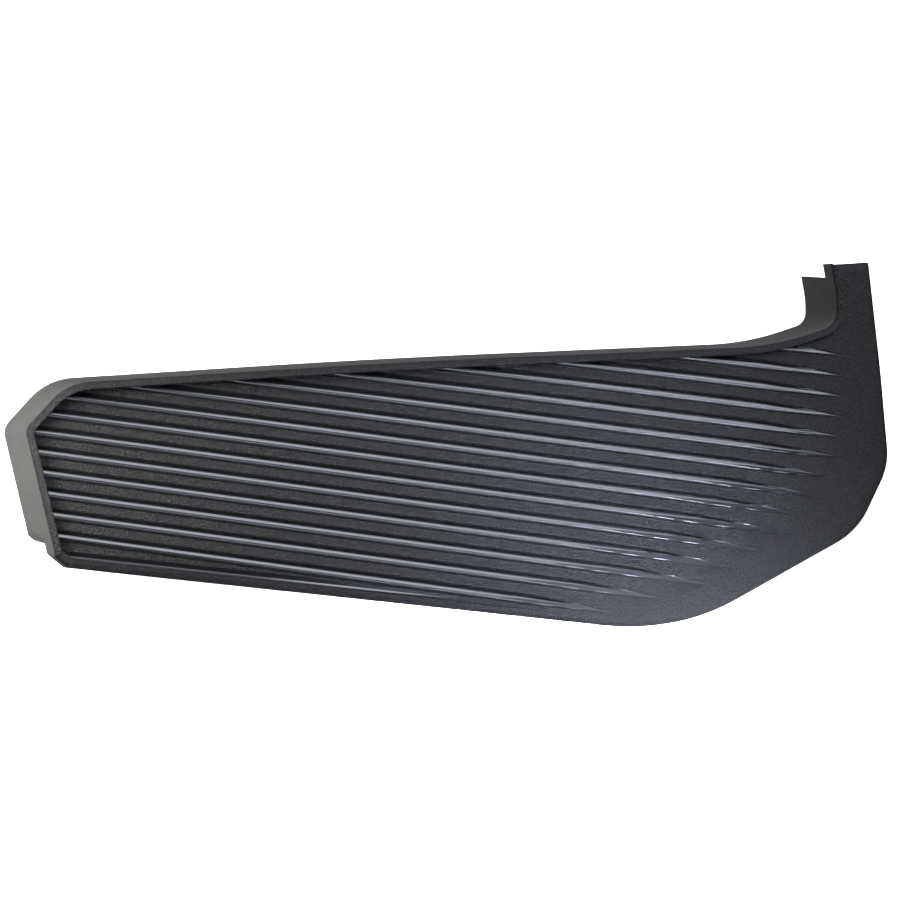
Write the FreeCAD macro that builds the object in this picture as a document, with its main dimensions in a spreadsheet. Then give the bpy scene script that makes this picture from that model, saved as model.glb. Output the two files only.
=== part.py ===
import FreeCAD, Part
import math
import os
import Sketcher

# Running board for a truck: one moulded shell with a dished, ribbed tread, on a steel rail with three
# brackets. +X runs to the wide end, +Y to the vehicle and +Z up through the tread. The origin is on the
# ground under the middle.

DIMENSIONS = {
    "board_height": 48.0,         # ground to the top of the lip
    "wall_gauge": 3.0,            # moulded wall
    "wall_flare": 3.6,            # how far the deep walls lean out over their height
    "lip_width": 4.5,             # rolled lip on the end and vehicle side
    "outer_lip_width": 7.5,       # wider, lower lip on the outer edge
    "lip_bevel": 1.4,             # rounding of the lip, as a bevel
    "land_drop": 0.8,             # the plain land lies this far below the lip
    "return_depth": 18.0,         # shallow return along the outer edge
    "tab_notch": 14.0,            # flange depth at the very top of the upright
    "tab_notch_at": 118.5,        # Y where the upright's flange steps back
    "tab_notch_lean": 2.2,        # how far that step leans over its height
    "floor_level": 42.2,          # dish floor above the origin, before its slopes
    "floor_slope_along": 0.0157,
    "floor_slope_across": -0.0316,
    "ramp_slope": 0.045,          # floor runs up to the land at the wide end
    "ramp_end": 275.0,
    "floor_gauge": 3.5,
    "rib_count": 15.0,
    "rib_front_at": -300.0,       # X of the line on which the ribs' front spacing is set
    "rib_front_first": -61.3,     # Y of the outermost rib there
    "rib_front_pitch": 13.75,
    "rib_front_closing": 0.06,    # the spacing closes up towards the vehicle
    "rib_rear_at": 275.0,
    "rib_rear_first": -141.1,
    "rib_rear_pitch": 14.48,
    "rib_half_width": 1.25,
    "rib_rise": 1.3,
    "groove_half_width": 1.5,
    "groove_depth": 1.5,
    "rib_taper_length": 58.0,     # length over which a rib and its groove run out to a point
    "web_gauge": 2.0,             # stiffening webs below the floor
    "web_bottom": 29.0,
    "outer_web_line": -58.0,      # Y of the two webs that run along the board
    "inner_web_line": 14.0,
    "cross_web_first": -264.0,
    "cross_web_pitch": 72.0,
    "boss_radius": 7.0,
    "boss_bottom": 24.0,
    "fixing_bottom": 12.0,        # the two end fixings have longer bosses
    "insert_radius": 4.0,
    "insert_length": 9.0,
    "screw_radius": 3.0,
    "screw_hole_clearance": 0.3,
    "screw_head_radius": 5.8,     # over the corners of the hexagon
    "screw_head_height": 5.0,
    "rail_line": -22.0,           # Y of the rail's middle
    "rail_start": -252.0,
    "rail_length": 490.0,
    "rail_gauge": 2.0,
    "rail_half_crown": 18.0,
    "rail_half_width": 36.0,
    "rail_base": 9.0,
    "rail_top": 22.5,
    "rail_bolt_offset": 27.0,
    "bracket_gauge": 3.0,
    "bracket_width": 50.0,
    "bracket_half_length": 62.0,
    "foot_length": 22.0,
    "joggle_run": 4.0,            # the strap steps up to the rail over this length
    "foot_pad_gauge": 2.5,
    "foot_hole_offset": 51.0,
    "foot_hole_spacing": 30.0,
    "foot_hole_radius": 4.5,
    "bolt_radius": 4.0,
    "bolt_hole_radius": 4.25,
    "bolt_head_radius": 7.5,
    "bolt_head_height": 5.3,
    "bolt_shank_length": 13.5,
    "nut_height": 6.5,
    "bracket_pitch": 187.0,
    "screw_first": -234.0,
    "screw_pitch": 92.0,
    "isolator_gauge": 1.5,
    "isolator_radius": 9.0,
    "washer_gauge": 1.6,
    "washer_radius": 8.0,
    "cap_gauge": 2.0,
    "cap_plug_length": 9.0,
    "cap_plug_clearance": 0.2,
    "clip_rib_gauge": 3.0,        # ribs inside the vehicle-side wall that take the clips
    "clip_rib_half_reach": 15.0,
    "clip_rib_bottom": 6.0,
    "clip_gauge": 0.8,
    "clip_width": 9.0,
    "clip_height": 11.0,
    "clip_set_in": 14.0,
    "clip_first": -220.0,
    "clip_pitch": 100.0,
    "angle_gauge": 2.0,
    "angle_leg": 11.0,
    "angle_start": -232.0,
    "angle_length": 320.0,
    "angle_level": 26.0,
    "angle_clearance": 0.6,
    "angle_screw_first": 25.0,
    "angle_screw_pitch": 90.0,
    "angle_screw_radius": 1.8,
    "angle_screw_set_in": 8.0,
    "angle_screw_top": 33.0,
    "angle_head_radius": 4.0,
    "angle_head_height": 2.5,
    "foam_gauge": 5.0,
    "foam_length": 44.0,
    "foam_width": 18.0,
    "foam_line": 20.0,
    "foam_bond": 0.15,
}
SCREW_COUNT = 6
CLIP_COUNT = 5
CROSS_WEB_COUNT = 8
ANGLE_SCREW_COUNT = 4
FOAM_PLACES = (-250.0, -178.0, -34.0, 38.0)
END_FIXINGS = ((286.0, 96.0), (-290.0, -20.0))
BRACKET_PLACES = {"front": -1, "middle": 0, "rear": 1}

# Corners of the board's outline at the lip: X, Y, corner radius, and whether a deep wall follows.
OUTLINE = [
    (-291.8, -75.6, 2.5, True),
    (-312.2, 8.3, 7.0, True),
    (-284.0, 38.7, 40.0, True),
    (-50.0, 54.3, 9000.0, True),
    (226.0, 67.2, 220.0, True),
    (274.6, 82.8, 14.0, True),
    (274.2, 103.0, 80.0, True),
    (269.4, 127.3, 1.2, False),
    (300.2, 127.3, 1.5, False),
    (309.5, 52.0, 500.0, False),
    (316.2, -16.0, 45.0, False),
    (292.0, -62.5, 55.0, False),
    (172.0, -123.2, 160.0, False),
    (120.0, -128.6, 180.0, False),
    (-282.3, -83.2, 2.5, False),
]
# Foot of the end wall, which rises in a slope and a step to the shallow outer return: Y and Z.
END_WALL_FOOT = [(-66.3, -1.0), (-71.2, 24.0), (-75.3, 30.0), (-110.0, 30.0), (-110.0, -1.0)]
# Line on which the ribs run out, from the vehicle side to the outer edge.
TIP_LINE = [
    (274.0, 90.0), (276.5, -10.0), (262.0, -32.0), (230.0, -62.0),
    (172.0, -98.5), (101.0, -117.5), (60.0, -122.0),
]

doc = FreeCAD.newDocument("running_board")
sheet = doc.addObject("Spreadsheet::Sheet", "dims")
for row, (alias, value) in enumerate(DIMENSIONS.items(), start=1):
    sheet.set(f"A{row}", alias)
    sheet.set(f"B{row}", str(value))
    sheet.setAlias(f"B{row}", alias)
doc.recompute()
nodes = []


def size(alias):
    return float(getattr(sheet, alias))


def value_of(expression):
    return float(sheet.evalExpression(expression))


def as_node(obj, label):
    obj.Label = label
    nodes.append(obj)
    return obj


def bind(obj, **expressions):
    """Ties properties of an object to the sheet; a place is given as x, y, z."""
    for prop, expression in expressions.items():
        path = {"x": "Placement.Base.x", "y": "Placement.Base.y", "z": "Placement.Base.z"}.get(prop, prop)
        obj.setExpression(path, expression)
    return obj


def block(name, length, width, height, x, y, z):
    obj = doc.addObject("Part::Box", name)
    return bind(obj, Length=length, Width=width, Height=height, x=x, y=y, z=z)


def rod(name, radius, height, x, y, z):
    obj = doc.addObject("Part::Cylinder", name)
    return bind(obj, Radius=radius, Height=height, x=x, y=y, z=z)


def hexagon(name, radius, height, x, y, z):
    obj = doc.addObject("Part::Prism", name)
    obj.Polygon = 6
    return bind(obj, Circumradius=radius, Height=height, x=x, y=y, z=z)


def fused(name, *pieces):
    obj = doc.addObject("Part::MultiFuse", name)
    obj.Shapes = list(pieces)
    return obj


def cut(name, base, tool):
    obj = doc.addObject("Part::Cut", name)
    obj.Base = base
    obj.Tool = tool
    return obj


def group(name, pieces):
    obj = doc.addObject("Part::Compound", name)
    obj.Links = list(pieces)
    return as_node(obj, name)


# ---------------------------------------------------------------- shell outline

def turn_at(corners, index):
    """Signed turn of the outline at a corner, in radians."""
    before, here, after = corners[index - 1], corners[index], corners[(index + 1) % len(corners)]
    heading_in = math.atan2(here[1] - before[1], here[0] - before[0])
    heading_out = math.atan2(after[1] - here[1], after[0] - here[0])
    return (heading_out - heading_in + math.pi) % (2 * math.pi) - math.pi


def moved_outline(wall_move, outer_move):
    """The outline with its deep-wall edges and its outer edges each moved outwards by their own distance."""
    count = len(OUTLINE)
    lines = []
    for index, corner in enumerate(OUTLINE):
        after = OUTLINE[(index + 1) % count]
        move = wall_move if corner[3] else outer_move
        run = math.hypot(after[0] - corner[0], after[1] - corner[1])
        along = ((after[0] - corner[0]) / run, (after[1] - corner[1]) / run)
        outwards = (-along[1], along[0])
        lines.append((corner[0] + outwards[0] * move, corner[1] + outwards[1] * move, along))
    corners = []
    for index, corner in enumerate(OUTLINE):
        ax, ay, a = lines[index - 1]
        bx, by, b = lines[index]
        cross = a[0] * b[1] - a[1] * b[0]
        reach = ((bx - ax) * b[1] - (by - ay) * b[0]) / cross
        move = wall_move if corner[3] else outer_move
        grow = -move if turn_at(OUTLINE, index) > 0 else move
        corners.append((ax + a[0] * reach, ay + a[1] * reach, max(corner[2] + grow, 0.6)))
    return corners


def rounded_wire(corners, level):
    """A closed wire of straight runs and tangent arcs at one height."""
    starts, middles, ends = [], [], []
    for index, (x, y, radius) in enumerate(corners):
        before, after = corners[index - 1], corners[(index + 1) % len(corners)]
        turn = abs(turn_at(corners, index))
        back = FreeCAD.Vector(before[0] - x, before[1] - y, 0).normalize()
        ahead = FreeCAD.Vector(after[0] - x, after[1] - y, 0).normalize()
        corner = FreeCAD.Vector(x, y, level)
        reach = radius * math.tan(turn / 2)
        inwards = (back + ahead).normalize()
        starts.append(corner + back * reach)
        ends.append(corner + ahead * reach)
        middles.append(corner + inwards * (radius / math.cos(turn / 2) - radius))
    edges = []
    for index in range(len(corners)):
        edges.append(Part.Arc(starts[index], middles[index], ends[index]).toShape())
        edges.append(Part.LineSegment(ends[index], starts[(index + 1) % len(corners)]).toShape())
    return Part.Wire(edges)


def between(low_corners, low, high_corners, high):
    """Solid between two like outlines at two heights."""
    return Part.makeLoft([rounded_wire(low_corners, low), rounded_wire(high_corners, high)], True, True)


def prism(corners, low, high):
    face = Part.Face(rounded_wire(corners, low))
    return face.extrude(FreeCAD.Vector(0, 0, high - low))


def across_block(profile, start, length):
    """A block along X whose section is given as Y and Z."""
    points = [FreeCAD.Vector(start, y, z) for y, z in profile]
    return Part.Face(Part.makePolygon(points + [points[0]])).extrude(FreeCAD.Vector(length, 0, 0))


def above_plane(point, slope_along, slope_across):
    """Half-space, as a large block, above a sloping plane."""
    reach = 1200.0
    solid = Part.makeBox(2 * reach, 2 * reach, 200.0, FreeCAD.Vector(-reach, -reach, 0))
    normal = FreeCAD.Vector(-slope_along, -slope_across, 1)
    solid.Placement = FreeCAD.Placement(point, FreeCAD.Rotation(FreeCAD.Vector(0, 0, 1), normal))
    return solid


# ---------------------------------------------------------------- tread shell

LAND = size("board_height") - size("land_drop")


def floor_at(x, y):
    """Height of the dish floor, no higher than the land."""
    floor = size("floor_level") + size("floor_slope_along") * x + size("floor_slope_across") * y
    ramp = LAND + size("ramp_slope") * (x - size("ramp_end"))
    return min(max(floor, ramp), LAND)


def dish_wedge(drop):
    """Space above both the sloping floor and the ramp, lowered by drop."""
    level = FreeCAD.Vector(0, 0, size("floor_level") - drop)
    floor = above_plane(level, size("floor_slope_along"), size("floor_slope_across"))
    ramp = above_plane(FreeCAD.Vector(size("ramp_end"), 0, LAND - drop), size("ramp_slope"), 0.0)
    return floor.common(ramp)


def rib_lines():
    """Front point and run-out point of each rib, outermost first."""
    lines = []
    for index in range(int(size("rib_count"))):
        front_x, rear_x = size("rib_front_at"), size("rib_rear_at")
        closing = size("rib_front_closing") * index ** 2
        front_y = size("rib_front_first") + size("rib_front_pitch") * index - closing
        rear_y = size("rib_rear_first") + size("rib_rear_pitch") * index
        slope = (rear_y - front_y) / (rear_x - front_x)
        for (ax, ay), (bx, by) in zip(TIP_LINE, TIP_LINE[1:]):
            # where the rib's line crosses this stretch of the run-out line
            gap_a = ay - (front_y + slope * (ax - front_x))
            gap_b = by - (front_y + slope * (bx - front_x))
            if gap_a * gap_b <= 0:
                part = gap_a / (gap_a - gap_b)
                tip_x = ax + part * (bx - ax)
                lines.append(((front_x, front_y), (tip_x, front_y + slope * (tip_x - front_x))))
                break
    return lines


def tapered_bar(line, profile, offset, tip_sink):
    """A bar along a rib line with a constant section that runs out to a point at the end."""
    (x0, y0), (x1, y1) = line
    run = math.hypot(x1 - x0, y1 - y0)
    along = FreeCAD.Vector((x1 - x0) / run, (y1 - y0) / run, 0)
    across = FreeCAD.Vector(-along.y, along.x, 0)
    reach = max(run - size("rib_taper_length"), run * 0.3)
    wires = []
    for distance, scale, sink in ((0.0, 1.0, 0.0), (reach, 1.0, 0.0), (run, 0.12, tip_sink)):
        base = FreeCAD.Vector(x0, y0, 0) + along * distance + across * offset
        level = min(floor_at(base.x, base.y), LAND - size("rib_rise")) - sink
        points = [base + across * (u * scale) + FreeCAD.Vector(0, 0, level + w * scale) for u, w in profile]
        wires.append(Part.makePolygon(points + [points[0]]))
    return Part.makeLoft(wires, True, True)


def stiffening(cavity):
    """Webs, screw bosses, insert bosses and clip ribs under the floor, trimmed by their hollow."""
    gauge, bottom, height = size("web_gauge"), size("web_bottom"), size("board_height")
    pieces = []
    for line in ("outer_web_line", "inner_web_line"):
        pieces.append(Part.makeBox(560, gauge, height, FreeCAD.Vector(-285, size(line), bottom)))
    for index in range(CROSS_WEB_COUNT):
        x = size("cross_web_first") + size("cross_web_pitch") * index
        pieces.append(Part.makeBox(gauge, 260, height, FreeCAD.Vector(x, -130, bottom)))
    for x in screw_places():
        at = FreeCAD.Vector(x, size("rail_line"), size("boss_bottom"))
        pieces.append(Part.makeCylinder(size("boss_radius"), height, at))
    for x, y in END_FIXINGS:
        at = FreeCAD.Vector(x, y, size("fixing_bottom"))
        pieces.append(Part.makeCylinder(size("boss_radius"), height, at))
    rib_gauge, reach = size("clip_rib_gauge"), size("clip_rib_half_reach")
    for x in clip_places():
        at = FreeCAD.Vector(x - rib_gauge / 2, wall_line(x) - reach, size("clip_rib_bottom"))
        pieces.append(Part.makeBox(rib_gauge, 2 * reach, height, at))
    joined = pieces[0].multiFuse(pieces[1:])
    return joined.common(cavity)


def screw_places():
    return [size("screw_first") + size("screw_pitch") * index for index in range(SCREW_COUNT)]


def clip_places():
    return [size("clip_first") + size("clip_pitch") * index for index in range(CLIP_COUNT)]


def wall_line(x):
    """Y of the vehicle-side lip at X."""
    (ax, ay, _, _), (bx, by, _, _), (cx, cy, _, _) = OUTLINE[2], OUTLINE[3], OUTLINE[4]
    return ay + (x - ax) * (by - ay) / (bx - ax) if x < bx else by + (x - bx) * (cy - by) / (cx - bx)


def outer_line(x):
    """Y of the straight outer edge at X."""
    (ax, ay, _, _), (bx, by, _, _) = OUTLINE[-2], OUTLINE[-1]
    return ay + (x - ax) * (by - ay) / (bx - ax)


def make_tread_shell():
    height, gauge, flare = size("board_height"), size("wall_gauge"), size("wall_flare")
    bevel = size("lip_bevel")
    body = between(moved_outline(flare, 0.0), 0.0, moved_outline(0.12, 0.0), height - bevel)
    crown = between(moved_outline(0.12, 0.0), height - bevel, moved_outline(-bevel, -2.2), height)
    solid = body.fuse(crown)

    hollow_foot, hollow_head = moved_outline(flare - gauge, -gauge), moved_outline(-gauge, -gauge - 1.5)
    cavity = between(hollow_foot, -0.01, hollow_head, LAND - size("floor_gauge"))
    cavity = cavity.cut(dish_wedge(size("floor_gauge")))
    solid = solid.cut(cavity)

    land = prism(moved_outline(-size("lip_width"), 20.0), LAND, height + 5)
    inside = prism(moved_outline(-size("lip_width"), -size("outer_lip_width")), 20.0, height + 5)
    solid = solid.cut(land).cut(inside.common(dish_wedge(0.0)))

    # the outer edge has only a shallow return, and the narrow end's wall steps up to it
    keep = prism(moved_outline(12.0, -6.0), -1.0, height - size("return_depth"))
    below = Part.makeBox(800, 400, height - size("return_depth") + 1, FreeCAD.Vector(-400, -200, -1))
    solid = solid.cut(below.cut(keep))
    solid = solid.cut(across_block(END_WALL_FOOT, -330.0, 60.0))
    notch_at, notch_top = size("tab_notch_at"), height - size("tab_notch")
    notch = [
        (notch_at, -1.0), (notch_at - size("tab_notch_lean"), notch_top),
        (notch_at + 30.0, notch_top), (notch_at + 30.0, -1.0),
    ]
    solid = solid.cut(across_block(notch, 258.0, 60.0))

    solid = solid.fuse(stiffening(cavity))
    inserts = [(x, size("rail_line"), size("boss_bottom")) for x in screw_places()]
    inserts += [(x, y, size("fixing_bottom")) for x, y in END_FIXINGS]
    for x, y, z in inserts:
        hole = Part.makeCylinder(size("insert_radius"), size("insert_length") + 1, FreeCAD.Vector(x, y, z))
        solid = solid.cut(hole)

    half, rise = size("rib_half_width"), size("rib_rise")
    flank = [(half * 0.5, rise), (half, rise * 0.45), (half * 1.15, -1.2)]
    bead = [(-u, w) for u, w in reversed(flank)] + flank
    side, depth = size("groove_half_width"), size("groove_depth")
    vee = [(-side, 2.0), (-side, -depth * 0.5), (0.0, -depth), (side, 0.1), (side, 2.0)]
    for line in rib_lines():
        solid = solid.cut(tapered_bar(line, vee, half + side, -0.4).common(inside))
    for line in rib_lines():
        solid = solid.fuse(tapered_bar(line, bead, 0.0, 0.4).common(inside))
    shell = doc.addObject("Part::Feature", "tread_shell")
    shell.Shape = solid.removeSplitter()
    return as_node(shell, "tread_shell")


# ---------------------------------------------------------------- sketched pieces

def plane_of(body, role):
    return next(f for f in body.Origin.OriginFeatures if f.Role == role)


def new_sketch(body, name, role):
    sketch = body.newObject("Sketcher::SketchObject", name)
    sketch.AttachmentSupport = (plane_of(body, role), "")
    sketch.MapMode = "FlatFace"
    return sketch


def hold(sketch, kind, geometry, point, expression):
    index = sketch.addConstraint(Sketcher.Constraint(kind, -1, 1, geometry, point, value_of(expression)))
    sketch.setExpression(f"Constraints[{index}]", expression)


def outline_sketch(body, name, role, corners):
    """Closed polygon whose corners are tied to the sheet."""
    sketch = new_sketch(body, name, role)
    points = [FreeCAD.Vector(value_of(u), value_of(v), 0) for u, v in corners]
    for index in range(len(points)):
        sketch.addGeometry(Part.LineSegment(points[index], points[(index + 1) % len(points)]))
    for index in range(len(points)):
        sketch.addConstraint(Sketcher.Constraint("Coincident", index, 2, (index + 1) % len(points), 1))
    for index, (u, v) in enumerate(corners):
        hold(sketch, "DistanceX", index, 1, u)
        hold(sketch, "DistanceY", index, 1, v)
    return sketch


def hole_sketch(body, name, centres, radius):
    """Circles on the ground plane, all of one radius."""
    sketch = new_sketch(body, name, "XY_Plane")
    for index, (u, v) in enumerate(centres):
        centre = FreeCAD.Vector(value_of(u), value_of(v), 0)
        sketch.addGeometry(Part.Circle(centre, FreeCAD.Vector(0, 0, 1), value_of(radius)))
        hold(sketch, "DistanceX", index, 3, u)
        hold(sketch, "DistanceY", index, 3, v)
        limit = sketch.addConstraint(Sketcher.Constraint("Radius", index, value_of(radius)))
        sketch.setExpression(f"Constraints[{limit}]", radius)
    return sketch


def drill(body, name, centres, radius):
    """Through holes upwards from the ground plane; stops if they remove nothing."""
    doc.recompute()
    before = body.Shape.Volume
    pocket = body.newObject("PartDesign::Pocket", name)
    pocket.Profile = hole_sketch(body, name + "_sketch", centres, radius)
    pocket.Type = "ThroughAll"
    pocket.Reversed = True
    body.Tip = pocket
    doc.recompute()
    if body.Shape.Volume >= before - 1:
        raise RuntimeError(f"{name} cuts nothing")


def make_rail():
    """Hat-section steel rail, crown up, with flanges down on the brackets."""
    body = doc.addObject("PartDesign::Body", "reinforcement_rail")
    crown, flange, sheet_gauge = "dims.rail_half_crown", "dims.rail_half_width", "dims.rail_gauge"
    low, top = "dims.rail_base", "dims.rail_top"
    right = [
        (flange, low), (flange, f"{low} + {sheet_gauge}"), (crown, f"{low} + {sheet_gauge}"), (crown, top),
    ]
    inner = [
        (f"-{crown} + {sheet_gauge}", low), (f"-{crown} + {sheet_gauge}", f"{top} - {sheet_gauge}"),
        (f"{crown} - {sheet_gauge}", f"{top} - {sheet_gauge}"), (f"{crown} - {sheet_gauge}", low),
    ]
    left = [(f"-{u}", v) for u, v in reversed(right)]
    section = outline_sketch(body, "rail_section", "YZ_Plane", inner + right + left)
    pad = body.newObject("PartDesign::Pad", "rail_pad")
    pad.Profile = section
    pad.setExpression("Length", "dims.rail_length")
    screws = [
        (f"dims.screw_first + {index} * dims.screw_pitch - dims.rail_start", "0")
        for index in range(SCREW_COUNT)
    ]
    drill(body, "screw_holes", screws, "dims.screw_radius + dims.screw_hole_clearance")
    bolts = [
        (f"{place} * dims.bracket_pitch + {along} * dims.foot_hole_spacing / 2 - dims.rail_start",
         f"{side} * dims.rail_bolt_offset")
        for place in BRACKET_PLACES.values() for along in (-1, 1) for side in (-1, 1)
    ]
    drill(body, "bolt_holes", bolts, "dims.bolt_hole_radius")
    bind(body, x="dims.rail_start", y="dims.rail_line")
    return as_node(body, "reinforcement_rail")


def make_bracket(place, step):
    """Joggled steel strap across the board, with a foot at each end for the vehicle's support arm."""
    body = doc.addObject("PartDesign::Body", f"{place}_bracket")
    end, gauge = "dims.bracket_half_length", "dims.bracket_gauge"
    foot, top = "dims.foot_pad_gauge", "dims.rail_base"
    heel = f"{end} - dims.foot_length"
    upper = [
        (end, foot), (end, f"{foot} + {gauge}"), (f"{heel} + 1", f"{foot} + {gauge}"),
        (f"{heel} + 1 - dims.joggle_run", top),
    ]
    lower = [
        (f"-({heel} - dims.joggle_run)", f"{top} - {gauge}"),
        (f"{heel} - dims.joggle_run", f"{top} - {gauge}"),
        (heel, foot),
    ]
    left = [(f"-({u})", v) for u, v in reversed(upper)]
    start = [(f"-({heel})", foot)]
    section = outline_sketch(body, f"{place}_section", "YZ_Plane", start + lower + upper + left)
    pad = body.newObject("PartDesign::Pad", f"{place}_pad")
    pad.Profile = section
    pad.setExpression("Length", "dims.bracket_width")
    middle = "dims.bracket_width / 2"
    feet = [
        (f"{middle} + {along} * dims.foot_hole_spacing / 2", f"{side} * dims.foot_hole_offset")
        for along in (-1, 1) for side in (-1, 1)
    ]
    drill(body, f"{place}_foot_holes", feet, "dims.foot_hole_radius")
    bolts = [
        (f"{middle} + {along} * dims.foot_hole_spacing / 2", f"{side} * dims.rail_bolt_offset")
        for along in (-1, 1) for side in (-1, 1)
    ]
    drill(body, f"{place}_bolt_holes", bolts, "dims.bolt_hole_radius")
    bind(body, x=f"{step} * dims.bracket_pitch - dims.bracket_width / 2", y="dims.rail_line")
    return as_node(body, f"{place}_bracket")


def make_foot_pads(place, step):
    """Two rubber pads under a bracket's feet, drilled with them."""
    pads = []
    for side in (-1, 1):
        name = f"{place}_pad_{'outer' if side < 0 else 'inner'}"
        reach = "- dims.bracket_half_length" if side < 0 else "+ dims.bracket_half_length - dims.foot_length"
        y = f"dims.rail_line {reach}"
        pad = block(
            name, "dims.bracket_width", "dims.foot_length", "dims.foot_pad_gauge",
            f"{step} * dims.bracket_pitch - dims.bracket_width / 2", y, "0",
        )
        holes = [
            rod(f"{name}_hole_{along + 1}", "dims.foot_hole_radius", "dims.foot_pad_gauge",
                f"{step} * dims.bracket_pitch + {along} * dims.foot_hole_spacing / 2",
                f"dims.rail_line + {side} * dims.foot_hole_offset", "0")
            for along in (-1, 1)
        ]
        pads.append(cut(f"{name}_drilled", pad, fused(f"{name}_holes", *holes)))
    return group(f"{place}_foot_pads", pads)


# ---------------------------------------------------------------- fasteners and small pieces

def sleeve(name, outer, inner, height, x, y, z):
    outside = rod(name + "_outside", outer, height, x, y, z)
    return cut(name, outside, rod(name + "_bore", inner, height, x, y, z))


def make_screw_sets():
    inserts, isolators, screws, washers = [], [], [], []
    for index in range(SCREW_COUNT):
        x, y = f"dims.screw_first + {index} * dims.screw_pitch", "dims.rail_line"
        crown = "dims.rail_top - dims.rail_gauge"
        inserts.append(
            sleeve(f"insert_{index}", "dims.insert_radius", "dims.screw_radius", "dims.insert_length", x, y,
                   "dims.boss_bottom")
        )
        isolators.append(
            sleeve(f"isolator_{index}", "dims.isolator_radius",
                   "dims.screw_radius + dims.screw_hole_clearance", "dims.isolator_gauge",
                   x, y, "dims.rail_top")
        )
        washers.append(
            sleeve(f"washer_{index}", "dims.washer_radius", "dims.screw_radius + 0.2",
                   "dims.washer_gauge", x, y, f"{crown} - dims.washer_gauge")
        )
        head = hexagon(f"screw_head_{index}", "dims.screw_head_radius", "dims.screw_head_height", x, y,
                       f"{crown} - dims.washer_gauge - dims.screw_head_height")
        grip = "dims.isolator_gauge + dims.rail_gauge + dims.washer_gauge"
        shank = rod(f"screw_shank_{index}", "dims.screw_radius", f"dims.insert_length + {grip} - 1",
                    x, y, f"{crown} - dims.washer_gauge")
        screws.append(fused(f"screw_{index}", head, shank))
    group("shell_inserts", inserts)
    group("rail_isolators", isolators)
    group("rail_washers", washers)
    group("rail_screws", screws)


def make_bolt_sets():
    bolts, nuts = [], []
    for place in BRACKET_PLACES.values():
        for along in (-1, 1):
            for side in (-1, 1):
                tag = len(bolts)
                x = f"{place} * dims.bracket_pitch + {along} * dims.foot_hole_spacing / 2"
                y = f"dims.rail_line + {side} * dims.rail_bolt_offset"
                under = "dims.rail_base - dims.bracket_gauge"
                head = hexagon(f"bolt_head_{tag}", "dims.bolt_head_radius", "dims.bolt_head_height", x, y,
                               f"{under} - dims.bolt_head_height")
                shank = rod(f"bolt_shank_{tag}", "dims.bolt_radius", "dims.bolt_shank_length", x, y, under)
                bolts.append(fused(f"bolt_{tag}", head, shank))
                seat = "dims.rail_base + dims.rail_gauge"
                nut = hexagon(f"nut_body_{tag}", "dims.bolt_head_radius", "dims.nut_height", x, y, seat)
                bore = rod(f"nut_bore_{tag}", "dims.bolt_radius", "dims.nut_height", x, y, seat)
                nuts.append(cut(f"nut_{tag}", nut, bore))
    group("bracket_bolts", bolts)
    group("bracket_nuts", nuts)


def make_rail_caps():
    """Moulded caps that close the ends of the rail."""
    rear = "dims.rail_start + dims.rail_length"
    ends = (
        ("front", "dims.rail_start - dims.cap_gauge", "dims.rail_start"),
        ("rear", rear, f"{rear} - dims.cap_plug_length"),
    )
    for place, face, plug in ends:
        side, depth = "dims.rail_line - dims.rail_half_crown", "dims.rail_top - dims.rail_base"
        plate = block(f"{place}_cap_plate", "dims.cap_gauge", "2 * dims.rail_half_crown", depth, face, side,
                      "dims.rail_base")
        inset = "dims.rail_gauge + dims.cap_plug_clearance"
        tongue = block(f"{place}_cap_plug", "dims.cap_plug_length",
                       f"2 * dims.rail_half_crown - 2 * ({inset})", f"{depth} - ({inset})",
                       plug, f"{side} + {inset}", "dims.rail_base")
        as_node(fused(f"{place}_rail_cap", plate, tongue), f"{place}_rail_cap")


def make_end_inserts():
    """Threaded brass inserts by which the two ends are pulled to the vehicle."""
    for name, (x, y) in zip(("upright_insert", "end_insert"), END_FIXINGS):
        insert = sleeve(name, "dims.insert_radius", "dims.screw_radius - 0.5", "dims.insert_length",
                        str(x), str(y), "dims.fixing_bottom")
        as_node(insert, name)


def make_sill_clips():
    """Spring-steel channels pushed up over the ribs inside the vehicle-side wall."""
    clips = []
    for index, place in enumerate(clip_places()):
        side = f"{place} - dims.clip_rib_gauge / 2"
        y = f"{wall_line(place)} - dims.clip_set_in"
        outside = block(f"clip_{index}_outside", "dims.clip_rib_gauge + 2 * dims.clip_gauge",
                        "dims.clip_width", "dims.clip_height", f"{side} - dims.clip_gauge", y,
                        "dims.clip_rib_bottom - dims.clip_gauge")
        slot = block(f"clip_{index}_slot", "dims.clip_rib_gauge", "dims.clip_width", "dims.clip_height",
                     side, y, "dims.clip_rib_bottom")
        clips.append(cut(f"clip_{index}", outside, slot))
    group("sill_clips", clips)


def edge_angle_frame(extra_along, inset, level):
    """Placement on the line of the outer edge, set in from it."""
    x = size("angle_start") + extra_along
    turn = math.degrees(math.atan2(outer_line(100.0) - outer_line(0.0), 100.0))
    lean = FreeCAD.Rotation(FreeCAD.Vector(0, 0, 1), turn)
    return FreeCAD.Placement(FreeCAD.Vector(x, outer_line(x) + inset, level), lean)


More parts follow.
